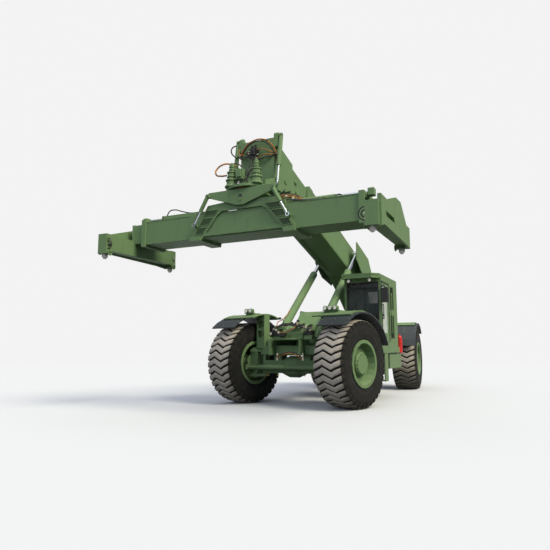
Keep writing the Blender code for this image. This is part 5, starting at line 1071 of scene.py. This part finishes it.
def make_spreader_fittings():
    """Hose tray, stretch cylinders, hoses, truss recesses, bolts and weld seams of the beam."""
    tray = Form()
    for x0, y0, x1, y1, z0, z1 in (
            (TRAY_LEFT, -0.20, TRAY_RIGHT, -0.16, TRAY_FOOT, 4.30),
            (TRAY_LEFT, 0.05, TRAY_RIGHT, 0.09, TRAY_FOOT, 4.30),
            (TRAY_LEFT, -0.20, TRAY_LEFT + 0.04, 0.09, TRAY_FOOT, 4.31),
            (TRAY_LEFT, -0.18, TRAY_RIGHT, 0.07, TRAY_FOOT, 4.215),
            (-2.66 - 0.06, -0.10, -2.66 + 0.06, 0.06, 4.198, 4.34),
            (2.66 - 0.06, -0.10, 2.66 + 0.06, 0.06, 4.198, 4.34),
            (1.80, -0.16, 2.14, -0.06, TRAY_FOOT, 4.25),
            (0.50, -0.26, 0.98, -0.10, TRAY_FOOT, 4.29)):
        tray.block((x0, RAIL_Y + y0, z0), (x1, RAIL_Y + y1, z1))
    tray.settle("beam_hose_tray", "paint", "spreader", 0.006)
    for name, finish, far, near, radius, sides, bevel, smooth in (
            ("extension_rods", "chrome", 2.62, 1.16, 0.022, 16, 0, 60),
            ("extension_barrels", "paint", 1.95, 0.50, 0.045, 20, 0.004, 40)):
        tubes = Form()
        for side in (-1, 1):
            tubes.rod(*((side * x, RAIL_Y - 0.02, 4.285) for x in (far, near)), radius, sides)
        tubes.settle(name, finish, "spreader", bevel, smooth)
    hoses("beam_hoses", "rubber", "spreader", 0.013, BEAM_ROUTES)
    hoses("beam_sleeves", "sleeve", "spreader", 0.011, BEAM_SLEEVES)
    ends = Form()
    for place in ((0.56, -2.63, 4.32), (0.60, -2.60, 4.28), (0.98, -2.62, 4.36),
                  (1.12, -2.60, 4.30), (0.52, -2.56, 4.24), (-2.03, -2.52, 4.31),
                  (2.16, -2.48, 4.23)):
        ends.pin(place, "x", 0.03, 0.018, 6).pin(place, "z", 0.025, 0.013)
    ends.settle("beam_hose_ends", "zinc", "spreader", 0.002, 40)
    # Thin dark panels in the truss's recesses are painted shade; the ribs round them are paint.
    leg_shade_form, ribs = Form(), Form()
    for side in (-1, 1):
        for face, deep in TRUSS_FACES:
            for low, high in TRUSS_BAYS:
                corners = [(side * x, z) for x, z in (
                    (leg_inner(low) + 0.06, low), (leg_outer(low) - 0.05, low),
                    (leg_outer(high) - 0.05, high), (leg_inner(high) + 0.06, high))]
                leg_shade_form.slab(corners, "y", *sorted((face, face + deep)))
                for a, b in zip(corners, corners[1:] + corners[:1]):
                    ribs.rod((a[0], face, a[1]), (b[0], face, b[1]), 0.008, 6)
    leg_shade_form.settle("truss_leg_recesses", "recess", "spreader")
    ribs.settle("truss_leg_ribs", "paint", "spreader", smooth=60)
    heads = [((side * x, -2.702, 3.705), (0, -1, 0)) for side in (-1, 1)
             for x in (1.04, 1.10, 1.16, 1.22, 1.28)]
    studs("tab_bolts", "paint", "spreader", heads, 0.013, 0.012)
    weld = Form()
    for z in (3.685, 4.195):
        for low, high in ((-2.56, -1.30), (1.30, 2.56)):
            weld.rod((low, WELD_Y, z), (high, WELD_Y, z), 0.006, 6)
    for x in (-2.57, 2.57):
        weld.rod((x, WELD_Y, 3.68), (x, WELD_Y, 4.20), 0.006, 6)
    weld.settle("beam_welds", "paint", "spreader", smooth=60)


# End beams

# Places of the twistlocks out along the spreader and to either side of the slewing axis, and the
# inner face of an end beam.
LOCK_X, LOCK_REACH = 2.9265, 1.1295
INNER_FACE = 2.8195
CORNER_ROUTES = (
    ((2.83, -3.49, 3.70), (2.77, -3.505, 3.69), (2.715, -3.50, 3.62), (2.715, -3.49, 3.53),
     (2.79, -3.46, 3.48), (2.83, -3.46, 3.48)),
    ((2.83, -3.48, 3.65), (2.79, -3.49, 3.64), (2.75, -3.49, 3.58), (2.79, -3.46, 3.53),
     (2.83, -3.46, 3.53)),
)


def make_end_fittings():
    """Twistlock collars, plungers, hooks and hoses of the two end beams."""
    for side, label in ((1, "left"), (-1, "right")):
        body = "slide_" + label
        pins, caps, hooks = Form(), Form(), []
        for y in (SLEW_Y - LOCK_REACH, SLEW_Y + LOCK_REACH):
            x = side * LOCK_X
            pins.rod((x, y, 3.30), (x, y, 3.372), 0.062, 8)
            pins.rod((x, y, 3.262), (x, y, 3.305), 0.030, 8, 0.058)
            x = side * INNER_FACE
            caps.rod((x, y, 3.60), (x - side * 0.035, y, 3.60), 0.030, 14)
            caps.rod((x, y - 0.04, 3.50), (x - side * 0.02, y - 0.04, 3.50), 0.016, 10)
        pins.settle("twistlock_collars_" + label, "steel", body, 0.003, 35)
        caps.settle("corner_plungers_" + label, "zinc", body, 0.003, 40)
        for y in (-1.20, -3.44):
            ring = [(2.80, y + 0.055 * math.cos(a), 3.40 + 0.055 * math.sin(a))
                    for a in (math.radians(t) for t in (100, 150, 200, 250, 300, 350, 395))]
            hooks.append([(2.83, ring[0][1], 3.47)] + ring)
        for name, finish, radius, routes in (("lashing_hooks_", "paint", 0.016, hooks),
                                             ("corner_hoses_", "rubber", 0.011, CORNER_ROUTES)):
            hoses(name + label, finish, body, radius,
                  [[(side * x, y, z) for x, y, z in route] for route in routes])


# Boom

# Lower and upper edge of the outer boom's side plates, above its axis.
PLATE_LOW, PLATE_HIGH = 0.53, 1.26


def boom_place(s, t, x):
    """A place s ahead of the boom's pivot and t above its axis, in the machine's frame."""
    pivot = Vector(JOINTS["boom_lift"]["pos_m"])
    ahead = -Vector(JOINTS["boom_extend"]["axis"])
    up = Vector((0, -ahead.z, ahead.y)) * -1
    place = pivot + ahead * s + up * t
    return (x, place.y - AXLE_Y, place.z)


def make_boom_fittings():
    """Weld lines, mouth bands, bosses, pipes, clips, valves, hoses and bolts of the boom."""
    seams = Form()
    for x in (-0.401, 0.401):
        for t in (PLATE_LOW, PLATE_HIGH):
            seams.rod(boom_place(2.70, t, x), boom_place(6.40, t, x), 0.005, 6)
        for s in (4.62, 6.16):
            seams.rod(boom_place(s, PLATE_LOW, x), boom_place(s, PLATE_HIGH, x), 0.005, 6)
    seams.settle("boom_welds", "paint", "boom_outer", smooth=60)
    bands = Form()
    for low, high in ((-0.414, -0.40), (0.40, 0.414)):
        bands.slab([boom_place(s, t, 0)[1:] for s, t in
                    ((6.18, 0.49), (6.44, 0.49), (6.44, 1.30), (6.18, 1.30))], "x", low, high)
    bands.settle("boom_mouth_bands", "paint", "boom_outer", 0.004)
    bosses = Form()
    for side in (-1, 1):
        for s, t in ((7.12, 0.98), (7.02, 0.76)):
            for low, high, radius, sides in ((0.349, 0.372, 0.062, 24), (0.36, 0.380, 0.04, 18)):
                bosses.rod(boom_place(s, t, side * low), boom_place(s, t, side * high), radius,
                           sides)
    bosses.settle("boom_pad_bosses", "paint", "boom_inner", 0.003, 40)
    clips = Form()
    for i in range(12):
        x, y, z = boom_place(3.0 + 0.28 * i, 0.494, -0.30)
        clips.block((-0.335, y - 0.02, z - 0.022), (-0.235, y + 0.02, z + 0.006))
    clips.settle("boom_pipe_clips", "paint", "boom_outer", 0.003)
    hoses("boom_pipes", "paint", "boom_outer", 0.011, [
        [boom_place(s, 0.484, x) for s in (2.9, 4.0, 5.2, 6.30)] for x in (-0.31, -0.285, -0.26)])
    knots = Form()
    for s, x in ((5.95, 0.10), (6.12, -0.06), (6.22, 0.16)):
        x, y, z = boom_place(s, 0.47, x)
        knots.block((x - 0.05, y - 0.05, z - 0.035), (x + 0.05, y + 0.05, z + 0.035))
        knots.rod((x + 0.05, y, z - 0.02), (x + 0.10, y - 0.02, z - 0.02), 0.017, 8)
    knots.settle("boom_valves_below", "paint", "boom_outer", 0.005)
    hoses("boom_hoses_below", "rubber", "boom_outer", 0.012, [
        [boom_place(s, t, x) for s, t, x in path] for path in (
            ((5.90, 0.47, 0.06), (6.02, 0.38, 0.02), (6.18, 0.40, -0.04), (6.30, 0.47, -0.06)),
            ((5.86, 0.47, 0.16), (6.00, 0.40, 0.20), (6.16, 0.41, 0.18), (6.26, 0.47, 0.14)))])
    heads = [(boom_place(s, t, side * 0.415), (side, 0, 0)) for side in (-1, 1)
             for s in (6.22, 6.40) for t in (0.60, 0.80, 1.0, 1.20)]
    studs("boom_bolts", "paint", "boom_outer", heads, 0.016, 0.012)


# Engine side and rear

RADIATOR_SLAT = ((0, 0), (0.035, -0.022), (0.035, -0.016), (0, 0.006))
HOOD_SHADE_STRIP = ((0, 0), (0.5, 0), (0.5, 0.012), (0, 0.012))


def make_rear_fittings():
    """Radiator slats, hood louvres and tail lamps."""
    low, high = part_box("radiator_housing")
    slats("radiator_slats", "black", RADIATOR_SLAT, "x", (low.x + 0.06, high.x - 0.06),
          (0, high.y - AXLE_Y - 0.003, 1.82), 9, 0.038)
    low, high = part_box("engine_hood")
    # The hood's louvres are flat dark strips in the recess finish: painted shade.
    for name, back in (("hood_louvres", 0.35), ("hood_louvres_rear", 1.35)):
        slats(name, "recess", HOOD_SHADE_STRIP, "x", (0, 0.012),
              (low.x - 0.010, low.y - AXLE_Y + back, low.z + 0.32), 9, 0.045)
    low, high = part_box("counterweight")
    y = high.y - AXLE_Y
    for name, finish, x in (("tail_lamps", "tail", 1.02), ("turn_lamps", "amber", 0.88),
                            ("reverse_lamps", "lamp", 0.74)):
        lamps = Form()
        for side in (-1, 1):
            lamps.rod((side * x, y - 0.02, 1.60), (side * x, y - 0.0005, 1.60), 0.05, 20)
        lamps.settle(name, finish, "chassis", 0.003, 40)


# Camera, light and floor

CAMERA_PLACE = (5.101, -11.674, 1.3685)
CAMERA_YAW, CAMERA_PITCH, CAMERA_ROLL = (math.radians(a) for a in (25.777, 8.037, -0.1275))
FLOOR_SIZE = 160
# The floor fades into the background between these distances from its middle.
FLOOR_FADE = (7, 48)
FLOOR_COLOUR = (0.60, 0.62, 0.71)
# What the floor throws back on the machine, and the colour of the sky over it.
BOUNCE_COLOUR = (0.035, 0.04, 0.025)
SKY_COLOUR = (0.93, 0.97, 1.0)


def make_stage():
    """Pale floor that keeps the shadow, a pale sky, soft lamps and the photograph's camera."""
    scene, values = bpy.context.scene, bpy.context.scene.stacker_stage
    scene.view_settings.view_transform = "Standard"
    s = Surface("pale_floor")
    seen = s.rays("Camera", "Glossy", "Transmission")
    far = s.node("ShaderNodeVectorMath", {"operation": "LENGTH"}, s.place(), out=1)
    far = far.step(*FLOOR_FADE)
    pale = s.node("ShaderNodeBsdfDiffuse", {}, FLOOR_COLOUR)
    glow = s.node("ShaderNodeEmission", {}, tuple(values.ground), 1.0)
    dark = s.node("ShaderNodeBsdfDiffuse", {}, BOUNCE_COLOUR)
    near = s.node("ShaderNodeMixShader", {}, far, pale, glow)
    both = s.node("ShaderNodeMixShader", {}, seen, dark, near)
    s.links.new(both.socket, s.output.inputs[0])
    floor = Form()
    half = FLOOR_SIZE / 2
    floor.mesh.faces.new([floor.mesh.verts.new((x, y, 0)) for x, y in
                          ((-half, -half), (half, -half), (half, half), (-half, half))])
    floor = floor.object("studio_floor")
    floor.data.materials.append(s.owner)

    s = Surface("pale_sky", "worlds", "ShaderNodeOutputWorld")
    scene.world = s.owner
    backdrop = s.node("ShaderNodeBackground", {}, tuple(values.ground))
    sky = s.node("ShaderNodeBackground", {}, SKY_COLOUR, values.sky)
    both = s.node("ShaderNodeMixShader", {}, s.rays("Camera", "Transmission"), sky, backdrop)
    s.links.new(both.socket, s.output.inputs[0])

    # Suns: name, way of the light, strength, colour and width in degrees, which softens shadows.
    for name, way, strength, colour, angle in (
            ("warm_key", (-0.70, 0.20, -0.70), values.key, (1.0, 0.93, 0.66), 28),
            ("cool_front", (0.12, 0.85, -0.52), 0.70, (0.88, 0.96, 1.0), 50),
            ("overhead", (-0.10, 0.05, -1.0), 1.0, (1.0, 1.0, 1.0), 75)):
        lamp = bpy.data.lights.new(name, "SUN")
        lamp.energy, lamp.color, lamp.angle = strength, colour, math.radians(angle)
        made = bpy.data.objects.new(name, lamp)
        made.rotation_euler = Vector(way).to_track_quat("-Z", "Y").to_euler()
        scene.collection.objects.link(made)

    camera = bpy.data.cameras.new("photograph_camera")
    camera.lens, camera.sensor_width = values.lens, 36
    camera.clip_end = 400
    made = bpy.data.objects.new("photograph_camera", camera)
    made.matrix_world = (Matrix.Translation(at(*CAMERA_PLACE)) @ Matrix.Rotation(CAMERA_YAW, 4, "Z")
                         @ Matrix.Rotation(math.radians(90) + CAMERA_PITCH, 4, "X")
                         @ Matrix.Rotation(CAMERA_ROLL, 4, "Z"))
    scene.collection.objects.link(made)
    scene.camera = made


WORK = (
    ("Paint the frame", "paint_frame", dress_frame),
    ("Tyres", "tyres", make_tyres),
    ("Wheel fittings", "wheel_fittings", make_wheel_fittings),
    ("Head hoses", "head_hoses", make_head_hoses),
    ("Frame fittings", "frame_fittings", make_frame_fittings),
    ("Fender fittings", "fender_fittings", make_fender_fittings),
    ("Cab fittings", "cab_fittings", make_cab_fittings),
    ("Spreader fittings", "spreader_fittings", make_spreader_fittings),
    ("End beam fittings", "end_fittings", make_end_fittings),
    ("Boom fittings", "boom_fittings", make_boom_fittings),
    ("Rear fittings", "rear_fittings", make_rear_fittings),
    ("Stage", "stage", make_stage),
)
OPERATORS = [operator(label, name, work) for label, name, work in WORK]


class STACKER_PT_panel(bpy.types.Panel):
    """Lists the dressing's operators and settings."""
    bl_label = "Reach stacker"
    bl_idname = "STACKER_PT_panel"
    bl_space_type = "VIEW_3D"
    bl_region_type = "UI"
    bl_category = "Reach stacker"

    def draw(self, context):
        for made in OPERATORS:
            self.layout.operator(made.bl_idname)
        for name in GROUP_NAMES:
            box = self.layout.box()
            values = getattr(context.scene, name)
            for key in values.__annotations__:
                box.prop(values, key)


GROUP_NAMES = {"stacker_paint": PaintSettings, "stacker_tyres": TyreSettings,
               "stacker_fittings": FittingSettings, "stacker_stage": StageSettings}


def register():
    for made in (*GROUP_NAMES.values(), *OPERATORS, STACKER_PT_panel):
        bpy.utils.register_class(made)
    for name, made in GROUP_NAMES.items():
        setattr(bpy.types.Scene, name, PointerProperty(type=made))


def unregister():
    for name in GROUP_NAMES:
        delattr(bpy.types.Scene, name)
    for made in (STACKER_PT_panel, *reversed(OPERATORS), *GROUP_NAMES.values()):
        bpy.utils.unregister_class(made)


def main():
    register()
    for _, name, _ in WORK:
        getattr(bpy.ops.stacker, name)()


if __name__ == "__main__":
    main()
